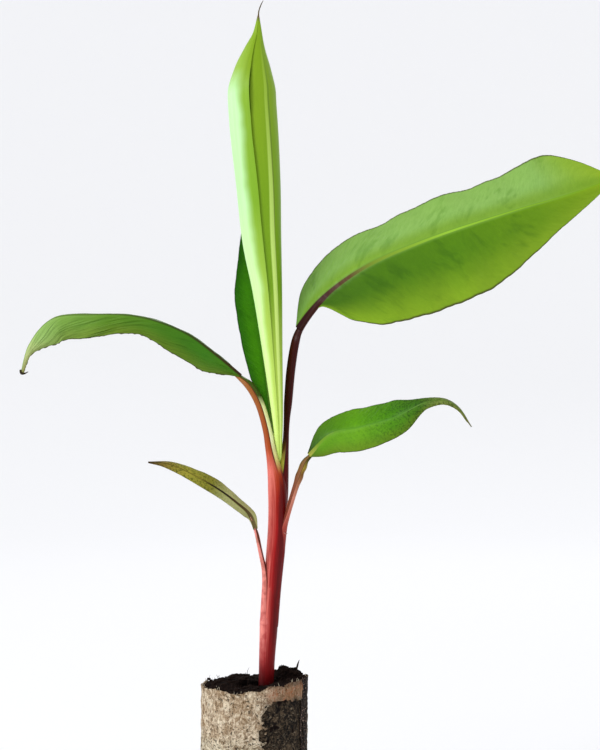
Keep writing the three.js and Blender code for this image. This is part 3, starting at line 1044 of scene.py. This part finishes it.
def build_back_blade(under, edge):
    """The dark leaf behind the rolled one."""
    face = leaf_material(
        "back_leaf_face",
        right=[(0, 70, 146, 14), (0.4, 76, 148, 16), (0.7, 70, 142, 18), (1, 30, 92, 12)],
        rib=[(0, 110, 150, 50), (1, 70, 124, 26)],
        rib_width=0.6, margin=tint(14, 44, 10), contrast=0.25,
        toward_margin=(tint(34, 96, 8), 0.8, 1.0),
    )
    settle(blade("blade_back", LEAVES["back"], 52, 16), ["leaf_back"], [face, under, edge])


def build_blades():
    """The five open leaves. They share their cut edge, and all but the old one their underside."""
    edge = plain_margin("leaf_margin", MARGIN)
    under = leaf_material("leaf_underside", [(0, 120, 156, 84), (1, 136, 170, 92)], roughness=0.55)
    build_right_blade(under, edge)
    build_left_blade(under, edge)
    build_low_right_blade(under, edge)
    build_low_left_blade(edge)
    build_back_blade(under, edge)


# ---------------------------------------------------------------- the rolled leaf

ROLLED_LINE = [(12.6, 3.0, 172), (12.0, 1.3, 184), (11.6, 0.0, 193), (11.2, -0.8, 203),
               (8.8, -1.2, 236.6), (6.6, -1.2, 264), (4.1, -1, 288), (2.5, -0.7, 315), (0.2, -0.4, 345),
               (-0.5, -0.2, 357), (-0.2, 0, 369.4), (0.6, 0, 379), (1.6, 0, 386), (1.9, 0.1, 395)]
ROLLED_RADII = [0.9, 1.2, 1.8, 2.5, 4.85, 7.0, 9.2, 10.5, 11.4, 11.4, 8.6, 4.9, 2.3, 0.4]

# The rolled leaf's tones from its foot to its tip, by where they lie round it.
# The band's darker green is partly painted shade.
# The flap's paleness is partly its own colour and partly painted light from the left.
ROLLED_TONES = {
    "flap": [(0, 212, 236, 130), (0.25, 202, 236, 152), (0.6, 180, 224, 162), (0.86, 182, 226, 166),
             (0.92, 140, 176, 60), (1, 124, 158, 18)],
    "flap_margin": [(0, 200, 226, 110), (0.25, 172, 204, 84), (0.6, 122, 166, 34), (0.86, 128, 168, 44),
                    (0.92, 124, 158, 22), (1, 124, 158, 18)],
    "band": [(0, 184, 214, 90), (0.22, 166, 196, 72), (0.4, 112, 154, 16), (0.62, 116, 156, 14),
             (0.85, 126, 160, 20), (1, 126, 160, 20)],
    "strip": [(0, 160, 184, 80), (0.25, 120, 138, 46), (0.6, 106, 130, 30), (0.85, 110, 144, 16),
              (1, 124, 158, 18)],
    "back": [(0, 176, 208, 90), (0.4, 124, 164, 40), (1, 124, 158, 20)],
    "rib": [(0, 214, 238, 130), (0.5, 190, 222, 110), (0.85, 150, 184, 56), (1, 128, 162, 24)],
}


def rolled_material():
    """The young leaf's back: the pale overlapping flap, partly painted light from the left, a green band,
    partly painted shade, the bright rib and a dark edge.
    """
    material, nodes, shader = new_material("rolled_leaf_skin", 0.45, 0.0, 0.2)
    _, length, width = uv_parts(nodes)
    spot, part = in_millimetres(nodes)
    height = nodes.over(nodes.minus(part[2], 185), 200.0, clamp=True)
    tones = {where: nodes.ramp(height, stops) for where, stops in ROLLED_TONES.items()}
    skin = nodes.combine(nodes.times(width, 60.0), nodes.times(length, 6.0))
    lines = nodes.group(STREAKS, Map=skin, Fineness=1.0, Stretch=0.6)
    # The way out from the rib: below nought on the inner half, and up to a half at the flap's margin.
    out = nodes.minus(0.5, width)
    waver = nodes.times(nodes.minus(nodes.noise(spot, 0.05, 2.0), 0.5), 0.05)
    colour = nodes.mix(nodes.range(out, 0.1, 0.16), tones["strip"], tones["back"])
    # The flap: its own pale colour brightened by painted light from the left.
    colour = nodes.mix(nodes.range(out, 0.28, 0.35), colour, tones["flap"])
    colour = nodes.mix(nodes.range(nodes.plus(out, waver), 0.43, 0.482), colour, tones["flap_margin"])
    # The band on the inner half: its own green, darkened partly by painted shade.
    colour = nodes.mix(nodes.range(out, -0.01, 0.0, 1.0, 0.0), colour, tones["band"])
    dark = nodes.shade(colour, 0.72, 0.82, 0.6)
    colour = nodes.mix(nodes.times(lines["Tone"], 0.3), colour, dark)
    # A brown line beside the rib, and painted shadow in the slit where the flap's margin is drawn back.
    brown = nodes.range(nodes.distance(out, 0.083), 0.004, 0.014, 1.0, 0.0)
    brown_height = nodes.times(nodes.range(part[2], 205, 240), nodes.range(part[2], 350, 375, 0.8, 0.0))
    colour = nodes.mix(nodes.times(brown, brown_height), colour, tint(90, 70, 44))
    slit_shadow = nodes.range(nodes.distance(out, -0.066), 0.005, 0.012, 0.85, 0.0)
    slit_shadow_height = nodes.times(nodes.range(part[2], 346, 349), nodes.range(part[2], 367, 370, 1.0, 0.0))
    colour = nodes.mix(nodes.times(slit_shadow, slit_shadow_height), colour, tint(60, 92, 6))
    rib_half = nodes.range(height, 0.1, 0.9, 0.017, 0.006)
    on_rib = nodes.range(nodes.over(nodes.distance(out, 0.0), rib_half), 0.7, 1.4, 1.0, 0.0)
    colour = nodes.mix(on_rib, colour, tones["rib"])
    colour = nodes.mix(nodes.range(part[2], 391, 395), colour, tint(96, 74, 50))
    nodes.put(shader["Base Color"], colour)
    relief(nodes, shader, lines["Height"], 0.25, 0.3)
    return material


def build_rolled_leaf():
    """A strip rolled round its rib: the inner half winds in tighter, and the outer half laps over it."""
    columns, rows = 64, 120
    middle = columns // 2
    line = Line(ROLLED_LINE)
    radius = through(list(zip(line.shares, ROLLED_RADII)))
    edit, lines = strip("rolled_leaf", rows, columns)
    # Each column turns a little on from the last, so both halves close up round the middle.
    full = 2 * math.pi
    outer = full * 0.912
    bend_half(edit, lines, columns, -1, [outer / middle] * middle)
    inner = [outer / middle] * 3 + [full / middle * 1.04] * (middle - 3)
    bend_half(edit, lines, columns, 1, inner)
    size = 1 / outer  # the outer half, one unit wide, closes to this radius
    edit.pick(edit.mesh.verts)
    edit.shift((0, 0, size))
    edit.grow((1, 1 / size, 1 / size), (0, 0, 0))
    # The rib stands a little proud of the roll, and the flap lies on the inner half.
    edit.pick([row[middle] for _, row in lines])
    edit.grow((1, 1.025, 1.025), (0, 0, 0))
    rib_way = math.radians(-58)
    for share, row in lines:
        start = Vector((share - 0.5, 0, 0))
        width = radius(share) * mm
        edit.pick(row)
        edit.grow((1, width, width), start)
        out = Vector((math.cos(rib_way), math.sin(rib_way), 0))
        centre = line.at(share)
        # The flap lies on the inner half. Near the top its margin lifts and is drawn further back.
        lift = max(0.0, 1 - ((centre.z - 358) / 11) ** 2)
        closed = min(1.0, max(0.0, (380 - centre.z) / 12))
        back = min(1.0, max(0.0, (centre.z - 285) / 50))
        for column in range(6):
            near = (6 - column) / 6
            swell = 1 + near * (0.006 * closed + 0.07 * lift * near)
            edit.pick([row[column]])
            edit.grow((1, swell, swell), start)
            edit.turn(math.radians(-9) * back * near, "X", start)
        lay_row(edit, row, start, place(*centre), axes(line.along(share), out))
    piece = edit.done()
    smooth(piece, 1)
    apply(piece, "SOLIDIFY", thickness=0.08 * mm, offset=-1)
    bpy.ops.object.shade_smooth_by_angle(angle=math.radians(40))
    settle(piece, ["leaf_rolled"], [rolled_material()])


def build_thread():
    """The dry thread at the rolled leaf's tip."""
    points = [(1.9, 0.1, 393, 0.5), (2.1, 0.15, 397, 0.32), (3.1, 0.25, 400, 0.28),
              (4.2, 0.3, 402.2, 0.12)]
    face = ((0, -1, 0), (0, -1, 0))
    piece = organ("rolled_leaf_thread", points, face, rows=16, columns=8)
    skin = stem_material("dry_thread_skin", [(390, 110, 100, 50), (403, 60, 42, 30)],
                         gloss=0.0, roughness=0.7)
    settle(piece, [], [skin])


# ---------------------------------------------------------------- soil and sleeve


def soil_material():
    material, nodes, shader = new_material("dark_soil", 0.95, 0.0, 0.05)
    spot, _ = in_millimetres(nodes)
    patches = nodes.group(MOTTLE, Vector=spot, Blotch_Size=2.2, Speck_Size=0.7, Specks=0.5)
    colour = nodes.mix(patches["Blotches"], tint(10, 6, 6), tint(30, 20, 17))
    colour = nodes.mix(nodes.times(patches["Specks"], 0.4), colour, tint(70, 54, 44))
    nodes.put(shader["Base Color"], colour)
    relief(nodes, shader, nodes.noise(spot, 1.6, 4.0, 0.7), 0.8, 0.9)
    return material


def soil_rise(x, y):
    """How far the soil's top stands over its level round the stem, in millimetres."""
    lumps = [(14.5, 12, 6.4, 5.2), (19.5, 7.5, 6.4, 5.2), (8, 17, 3.4, 6), (-9, 14, 1.5, 6),
             (18, -9, 2, 5), (-16, -6, -1.5, 8)]
    rise = 0.0
    for middle_x, middle_y, height, breadth in lumps:
        off = math.hypot(x - middle_x, y - middle_y) / breadth
        if height > 0:
            rise = max(rise, height * math.exp(-(off ** 4)))
        else:
            rise += height * math.exp(-(off ** 2))
    return rise + 0.045 * x


def build_soil():
    columns = 96
    edit, lines = strip("soil_body", 28, columns)
    roll(edit, lines, columns)
    height = SOIL_TOP - 1.2
    edit.pick(edit.mesh.verts)
    edit.grow((height * mm, SOIL_RADIUS * mm, SOIL_RADIUS * mm), (0, 0, 0))
    edit.turn(-math.pi / 2, "Y", (0, 0, 0))
    edit.shift(FOOT + Vector((0, 0, height / 2 * mm)))
    bpy.ops.mesh.remove_doubles(threshold=0.001 * mm)
    rims = {"low": FOOT.z, "high": FOOT.z + height * mm}
    for end, rings in (("low", 4), ("high", 22)):
        level = rims[end]
        edit.mesh = bmesh.from_edit_mesh(edit.piece.data)
        edit.picked = [v for v in edit.mesh.verts if v.select]
        edit.pick([v for v in edit.mesh.verts if abs(v.co.z - level) < 0.01 * mm])
        for n in range(rings):
            bpy.ops.mesh.extrude_region_move()
            share = 1 - 1 / (rings - n + 0.15)
            edit.grow((share, share, 1), (FOOT.x, FOOT.y, level))
        bpy.ops.mesh.merge(type="CENTER")
    edit.mesh = bmesh.from_edit_mesh(edit.piece.data)
    for vert in edit.mesh.verts:
        if vert.co.z > rims["high"] - 0.01 * mm:
            x, y = (vert.co.x - FOOT.x) / mm, (vert.co.y - FOOT.y) / mm
            near_rim = max(0.0, math.hypot(x, y) / SOIL_RADIUS - 0.85) / 0.15
            vert.co.z += (soil_rise(x, y) * (1 - 0.3 * near_rim) + 0.6) * mm
    bpy.ops.mesh.select_all(action="SELECT")
    bpy.ops.mesh.normals_make_consistent(inside=False)
    piece = edit.done()
    group = piece.vertex_groups.new(name="crumbly")
    for vert in piece.data.vertices:
        above = (vert.co.z - FOOT.z) / mm - (SOIL_TOP - 4)
        weight = 0.0 if vert.co.z < FOOT.z + 0.5 * mm else (1.0 if above > 0 else 0.3)
        group.add([vert.index], weight, "REPLACE")
    smooth(piece, 1)
    for name, size, strength in (("soil_lumps", 3.2, 2.2), ("soil_crumbs", 1.1, 1.5)):
        crumple(piece, name, size, strength, vertex_group="crumbly")
    settle(piece, ["soil_plug"], [soil_material()])
    return piece


def lie_on(piece, x, y):
    """The height, in metres, of a piece's surface over a place told in millimetres."""
    hit, spot, _, _ = piece.ray_cast(place(x, y, 200), Vector((0, 0, -1)))
    return spot.z if hit else FOOT.z + SOIL_TOP * mm


def join(pieces, name):
    deselect()
    for piece in pieces:
        piece.select_set(True)
    bpy.context.view_layer.objects.active = pieces[0]
    bpy.ops.object.join()
    joined = bpy.context.active_object
    joined.name = name
    return joined


def from_stem(x, y):
    """How far a place on the soil is from the middle of the stem's foot, in millimetres."""
    return math.hypot(x - 5.6, y + 1)


def build_crumbs(soil):
    """Loose crumbs over the soil and on the torn rim, each of its own size and shape."""
    rng = random.Random(5)
    crumbs = []
    for n in range(480):
        on_rim = n % 3 == 0
        angle = rng.uniform(0, 2 * math.pi)
        reach = rng.uniform(0.97, 1.05) if on_rim else math.sqrt(rng.uniform(0.02, 1))
        x, y = reach * SOIL_RADIUS * math.cos(angle), reach * SOIL_RADIUS * math.sin(angle)
        size = rng.choice((0.35, 0.45, 0.6, 0.8, 1.15)) * (0.65 if on_rim else 1)
        if from_stem(x, y) < 4.4:
            continue
        top = place(0, 0, rim_height(x, y)).z if on_rim else lie_on(soil, x, y)
        deselect()
        bpy.ops.mesh.primitive_ico_sphere_add(subdivisions=1 if size < 0.7 else 2, radius=size * mm)
        crumb = bpy.context.active_object
        edit = Edit(crumb)
        bpy.ops.mesh.select_all(action="SELECT")
        bpy.ops.transform.vertex_random(offset=size * 0.35 * mm, seed=n, normal=0.0)
        stretch = (rng.uniform(0.7, 1.4), rng.uniform(0.7, 1.4), rng.uniform(0.5, 0.9))
        edit.grow(stretch, (0, 0, 0))
        edit.turn(rng.uniform(0, 6.28), "Z", (0, 0, 0))
        edit.shift((FOOT.x + x * mm, FOOT.y + y * mm, top + size * 0.25 * mm))
        crumbs.append(edit.done())
    piece = join(crumbs, "soil_crumbs")
    material, nodes, shader = new_material("loose_soil", 0.95, 0.0, 0.05)
    spot, _ = in_millimetres(nodes)
    nodes.put(shader["Base Color"], nodes.mix(nodes.noise(spot, 1.5, 3.0), tint(8, 5, 5), tint(40, 28, 23)))
    settle(piece, [], [material])


def build_fibres(soil):
    """Peat fibres and root hairs that stand up from the soil, and pale paper fibres on the rim."""
    rng = random.Random(11)
    kinds = {"soil_fibres": [], "paper_fibres": []}
    for n in range(90):
        paper = n % 2 == 0
        angle = rng.uniform(0, 2 * math.pi)
        reach = rng.uniform(0.99, 1.04) if paper else math.sqrt(rng.uniform(0.1, 1))
        x, y = reach * (SOIL_RADIUS + 0.3) * math.cos(angle), reach * (SOIL_RADIUS + 0.3) * math.sin(angle)
        if from_stem(x, y) < 5:
            continue
        z = rim_height(x, y) - 0.4 if paper else (lie_on(soil, x, y) - FOOT.z) / mm
        long_one = n % 5 == 0
        tall = rng.uniform(*((0.8, 2.0) if paper else (3.5, 5) if long_one else (1.2, 3.0)))
        lean = Vector((rng.uniform(-1, 1), rng.uniform(-1, 1), 0)) * tall * 0.6
        points = [(x, y, z - 0.6, 0.18), (x + lean.x * 0.3, y + lean.y * 0.3, z + tall * 0.5, 0.15),
                  (x + lean.x, y + lean.y, z + tall, 0.05)]
        made = organ(f"fibre_{n}", points, FRONT, rows=5, columns=4)
        kinds["paper_fibres" if paper else "soil_fibres"].append(made)
    chip = organ("bark_chip", [(19.6, 6.5, 80, 0.5), (20.4, 6.4, 84.2, 0.55), (21.4, 6.2, 87.4, 0.12)],
                 FRONT, rows=8, columns=6)
    kinds["soil_fibres"].append(chip)
    finishes = {"soil_fibres": ("soil", tint(14, 9, 8), tint(50, 36, 28)),
                "paper_fibres": ("sleeve_paper", tint(150, 130, 100), tint(214, 204, 184))}
    for name, (slot, dark, pale) in finishes.items():
        piece = join(kinds[name], name)
        material, nodes, shader = new_material(name + "_finish", 0.9, 0.0, 0.1)
        spot, _ = in_millimetres(nodes)
        nodes.put(shader["Base Color"], nodes.mix(nodes.noise(spot, 0.8, 3.0), dark, pale))
        settle(piece, [], [material])


def wet_paper(nodes, pulp, fine):
    """Soaked, near-black pulp with some paler scraps."""
    colour = nodes.mix(nodes.range(pulp, 0.44, 0.6), tint(12, 8, 7), tint(84, 70, 54))
    colour = nodes.mix(nodes.range(fine, 0.56, 0.66, 0.0, 0.75), colour, tint(140, 128, 108))
    return nodes.mix(nodes.range(fine, 0.4, 0.48, 0.8, 0.0), colour, tint(14, 9, 8))


def dry_paper(nodes, spot, part, pulp, fine, fibres):
    """Pale, fibrous pulp: greyer and flecked low down, rusty at the front right, soiled at the rim."""
    patches = nodes.group(MOTTLE, Vector=spot, Blotch_Size=6.5, Speck_Size=1.2, Specks=0.72)
    wander = nodes.times(nodes.minus(nodes.noise(spot, 0.2, 4.0, 0.65), 0.5), 12.0)
    height = nodes.plus(part[2], wander)
    colour = nodes.mix(patches["Blotches"], tint(172, 148, 118), tint(222, 206, 180))
    colour = nodes.mix(nodes.times(nodes.range(height, 58, 48), 0.5), colour, tint(186, 184, 160))
    colour = nodes.mix(nodes.range(pulp, 0.47, 0.57, 0.0, 0.75), colour, tint(112, 86, 58))
    colour = nodes.mix(nodes.range(pulp, 0.4, 0.47, 0.7, 0.0), colour, tint(228, 216, 192))
    lines = nodes.times(nodes.range(fibres, 0.52, 0.64, 0.0, 0.65), nodes.range(part[2], 56, 66))
    colour = nodes.mix(lines, colour, tint(110, 80, 50))
    flecks = nodes.times(nodes.range(fine, 0.55, 0.63, 0.0, 0.85), nodes.range(height, 68, 60, 0.35, 1.0))
    colour = nodes.mix(flecks, colour, tint(66, 50, 34))
    colour = nodes.mix(nodes.times(patches["Specks"], 0.85), colour, tint(34, 26, 18))
    front = nodes.range(part[1], -8, -4, 1.0, 0.0)
    at_side = nodes.times(front, nodes.range(nodes.plus(part[0], wander), 3, 8))
    damp = nodes.times(nodes.range(height, 76, 71), at_side, 0.8)
    colour = nodes.mix(damp, colour, tint(70, 54, 38))
    rust = nodes.times(nodes.range(height, 71, 75), at_side, nodes.range(pulp, 0.42, 0.54, 1.0, 0.2), 0.85)
    colour = nodes.mix(rust, colour, tint(138, 74, 32))
    soil = nodes.range(nodes.plus(part[2], nodes.times(wander, 0.4)), 77.2, 80)
    return nodes.mix(nodes.times(soil, 0.55), colour, tint(34, 24, 18))


def paper_material(name, wet):
    """Rough paper with upright fibres, either soaked or dry."""
    material, nodes, shader = new_material(name, 0.9, 0.0, 0.12)
    spot, part = in_millimetres(nodes)
    pulp = nodes.noise(spot, 0.42, 6.0, 0.8, 0.9)
    fine = nodes.noise(spot, 1.0, 5.0, 0.75, 0.8)
    upright = nodes.combine(nodes.times(part[0], 1.3), nodes.times(part[1], 1.3), nodes.times(part[2], 0.1))
    fibres = nodes.noise(upright, 1.0, 3.0, 0.6, 0.2)
    if wet:
        colour = wet_paper(nodes, pulp, fine)
    else:
        colour = dry_paper(nodes, spot, part, pulp, fine, fibres)
    nodes.put(shader["Base Color"], colour)
    grain = nodes.plus(nodes.times(pulp, 0.8), nodes.times(fine, 0.4))
    relief(nodes, shader, nodes.plus(grain, nodes.times(fibres, 0.3)), 1.2, 0.9)
    return material


def rim_height(x, y):
    """The paper's torn rim: higher on the right, lower behind and at the front."""
    angle = math.atan2(y, x)
    dip = 2.4 * math.exp(-((math.degrees(angle) + 103) / 17) ** 2)
    rag = noise.noise((math.cos(angle) * 4, math.sin(angle) * 4, 3.1)) * 1.4
    fine = noise.noise((math.cos(angle) * 14, math.sin(angle) * 14, 7.7)) * 1.3
    finer = noise.noise((math.cos(angle) * 40, math.sin(angle) * 40, 1.7)) * 0.8
    behind = 0.13 * max(0.0, y)
    return 78.9 + 0.076 * x - dip - behind + rag + fine + finer


def paper_tube(name, radius, top_shift, columns=120, rows=70):
    """A tube of paper from the torn foot to the ragged rim."""
    edit, lines = strip(name, rows, columns)
    roll(edit, lines, columns)
    edit.pick(edit.mesh.verts)
    edit.grow((1, radius * mm, radius * mm), (0, 0, 0))
    edit.turn(-math.pi / 2, "Y", (0, 0, 0))
    edit.shift(FOOT + Vector((0, 0, 0.5)))
    bpy.ops.mesh.remove_doubles(threshold=0.001 * mm)
    edit.mesh = bmesh.from_edit_mesh(edit.piece.data)
    for vert in edit.mesh.verts:
        x, y = (vert.co.x - FOOT.x) / mm, (vert.co.y - FOOT.y) / mm
        share = vert.co.z - FOOT.z
        top = rim_height(x, y) + top_shift
        vert.co.z = FOOT.z + (SLEEVE_FOOT + share * (top - SLEEVE_FOOT)) * mm
    bpy.ops.mesh.select_all(action="SELECT")
    bpy.ops.mesh.normals_make_consistent(inside=False)
    return edit


def seam_material():
    """Dark, wet pulp with a few pinkish flecks."""
    material, nodes, shader = new_material("wet_seam_paper", 0.7, 0.1, 0.2)
    spot, _ = in_millimetres(nodes)
    pulp = nodes.noise(spot, 0.9, 5.0, 0.75, 0.6)
    fine = nodes.noise(spot, 1.6, 3.0, 0.6, 0.3)
    colour = nodes.mix(nodes.range(pulp, 0.42, 0.66), tint(10, 6, 6), tint(52, 36, 30))
    flecks = nodes.range(fine, 0.6, 0.66, 0.0, 0.9)
    colour = nodes.mix(flecks, colour, tint(206, 170, 152))
    nodes.put(shader["Base Color"], colour)
    relief(nodes, shader, pulp, 1.0, 0.8)
    return material


RIM_REACH = 24  # how far out from the plug's axis the seam takes the rim's height


def build_seam():
    """The sleeve's glued overlap on the right: dark, wet, ragged cords of paper down the side."""
    cords = []
    for n, (angle, thick) in enumerate(((-27, 0.55), (-20, 0.9), (-13, 1.0), (-6, 0.7))):
        x, y = math.cos(math.radians(angle)), math.sin(math.radians(angle))
        rng = random.Random(n)
        points = []
        for step in range(12):
            rim = rim_height(x * RIM_REACH, y * RIM_REACH) - 0.5
            z = SLEEVE_FOOT + (rim - SLEEVE_FOOT) * step / 11
            reach = SLEEVE_RADIUS - 0.25 + rng.uniform(-0.25, 0.2)
            sway = rng.uniform(-0.6, 0.6)
            points.append((x * reach - y * sway, y * reach + x * sway, z, thick * rng.uniform(0.6, 1.2)))
        cords.append(organ(f"seam_cord_{n}", points, ((x, y, 0.05), (x, y, 0.05)), rows=90, columns=10))
    piece = join(cords, "sleeve_seam")
    crumple(piece, "seam_crumple", 1.6, 0.9)
    settle(piece, [], [seam_material()])


def build_sleeve():
    edit = paper_tube("sleeve_inner_layer", SLEEVE_RADIUS - 0.8, -1.0, 96, 50)
    inner = edit.done()
    crumple(inner, "inner_crinkle", 2.6, 1.5)
    smooth(inner, 1)
    apply(inner, "SOLIDIFY", thickness=0.35 * mm, offset=-1)
    settle(inner, [], [paper_material("soaked_paper", True)])

    edit = paper_tube("sleeve_outer_layer", SLEEVE_RADIUS - 0.15, 0.0)
    torn = []
    for face in edit.mesh.faces:
        spot = (face.calc_center_median() - FOOT) / mm
        rag = noise.noise(spot * 0.22) * 3.0 + noise.noise(spot * 0.7) * 2.2 + noise.noise(spot * 1.9) * 1.4
        left = 4.0 + 0.08 * max(0.0, spot.z - 45) + 0.06 * max(0.0, 45 - spot.z) + rag
        in_front = spot.y < 2.0 + rag
        if in_front and spot.x > left and 9 + rag < spot.z < 72.0 + rag * 0.8:
            torn.append(face)
        elif -12 < spot.y < 0 and spot.x > 22.3 + rag * 0.15:
            torn.append(face)
    bpy.ops.mesh.select_mode(type="FACE")
    bpy.ops.mesh.select_all(action="DESELECT")
    for face in torn:
        face.select_set(True)
    bpy.ops.mesh.delete(type="FACE")
    outer = edit.done()
    crumple(outer, "outer_crinkle", 5, 1.3)
    crumple(outer, "paper_pulp", 1.7, 1.3)
    smooth(outer, 1)
    apply(outer, "SOLIDIFY", thickness=0.5 * mm, offset=1)
    settle(outer, ["paper_sleeve"], [paper_material("pale_paper", False)])
    build_seam()


# ---------------------------------------------------------------- stage, light and camera


def build_stage():
    """A wide pale bowl: a floor that sweeps up into a wall all round. Its sizes are in metres."""
    deselect()
    reach = 1.5  # the flat floor's radius
    spread, rise_to = 1.3, 1.6  # how far the sweep runs out and up
    wall = 1.2  # the upright wall above the sweep
    bpy.ops.mesh.primitive_circle_add(vertices=96, radius=reach, fill_type="NGON", location=FOOT)
    bowl = bpy.context.active_object
    bowl.name = "pale_stage"
    edit = Edit(bowl)
    bpy.ops.mesh.select_all(action="SELECT")
    steps = 24
    for n in range(steps):
        rise = math.cos(n / steps * math.pi / 2) - math.cos((n + 1) / steps * math.pi / 2)
        bpy.ops.mesh.select_all(action="DESELECT")
        edit.mesh = bmesh.from_edit_mesh(bowl.data)
        top = max(v.co.z for v in edit.mesh.verts)
        ring = [v for v in edit.mesh.verts if v.co.z > top - 1e-5 and v.co.xy.length > reach * 0.9]
        for vert in ring:
            vert.select_set(True)
        edit.mesh.select_flush_mode()
        edit.mesh.select_flush(True)
        bpy.ops.mesh.extrude_edges_move()
        width = reach + spread * math.sin((n + 1) / steps * math.pi / 2)
        now = reach + spread * math.sin(n / steps * math.pi / 2)
        edit.grow((width / now, width / now, 1), (FOOT.x, FOOT.y, 0))
        edit.shift((0, 0, rise * rise_to + (wall if n == steps - 1 else 0)))
    edit.done()
    choose(bowl)
    bpy.ops.object.shade_smooth()
    material, _, shader = new_material("stage_white", 0.9, 0.0, 0.1)
    shader["Base Color"].default_value = (0.42, 0.42, 0.43, 1)
    shader["Emission Color"].default_value = (0.97, 0.98, 1.0, 1)
    shader["Emission Strength"].default_value = 0.54
    bowl.data.materials.append(material)


def area_light(name, spot, target, size, power, colour):
    light = bpy.data.lights.new(name, "AREA")
    light.shape = "DISK"
    light.size = size
    light.energy = power
    light.color = colour
    lamp = bpy.data.objects.new(name, light)
    lamp.location = spot
    lamp.rotation_euler = (target - spot).to_track_quat("-Z", "Y").to_euler()
    bpy.context.collection.objects.link(lamp)


def build_light():
    world = bpy.data.worlds.new("soft_room")
    world.use_nodes = True
    world.node_tree.nodes["Background"].inputs[0].default_value = (0.97, 0.98, 1.0, 1)
    world.node_tree.nodes["Background"].inputs[1].default_value = 0.6
    bpy.context.scene.world = world
    heart = place(20, 0, 220)
    area_light("key", heart + Vector((-1.15, -0.95, 1.1)), heart, 0.6, 15, (1.0, 0.985, 0.96))
    area_light("left_window", heart + Vector((-1.4, -0.35, 0.0)), heart, 0.5, 5, (1.0, 1.0, 1.0))
    area_light("fill", heart + Vector((1.3, -1.2, 0.3)), heart, 1.2, 1.5, (0.96, 0.97, 1.0))
    area_light("rim", heart + Vector((0.3, 1.4, 1.0)), heart, 0.8, 5, (1.0, 1.0, 1.0))


def build_camera():
    camera = bpy.data.cameras.new("camera")
    distance = 820  # millimetres, from the plug's axis
    seen_height = 357  # what the frame's long side covers there
    camera.lens = 36 * distance / seen_height
    camera.clip_start = 0.05
    camera.clip_end = 20
    holder = bpy.data.objects.new("camera", camera)
    holder.location = place(21.7, -distance, 223.8)
    holder.rotation_euler = (math.pi / 2, 0, 0)
    bpy.context.collection.objects.link(holder)
    bpy.context.scene.camera = holder


build_camera()
build_light()
build_stage()
soil_piece = build_soil()
build_crumbs(soil_piece)
build_fibres(soil_piece)
build_sleeve()
build_organs()
build_blades()
build_rolled_leaf()
build_thread()
bpy.context.scene.view_settings.view_transform = "Standard"
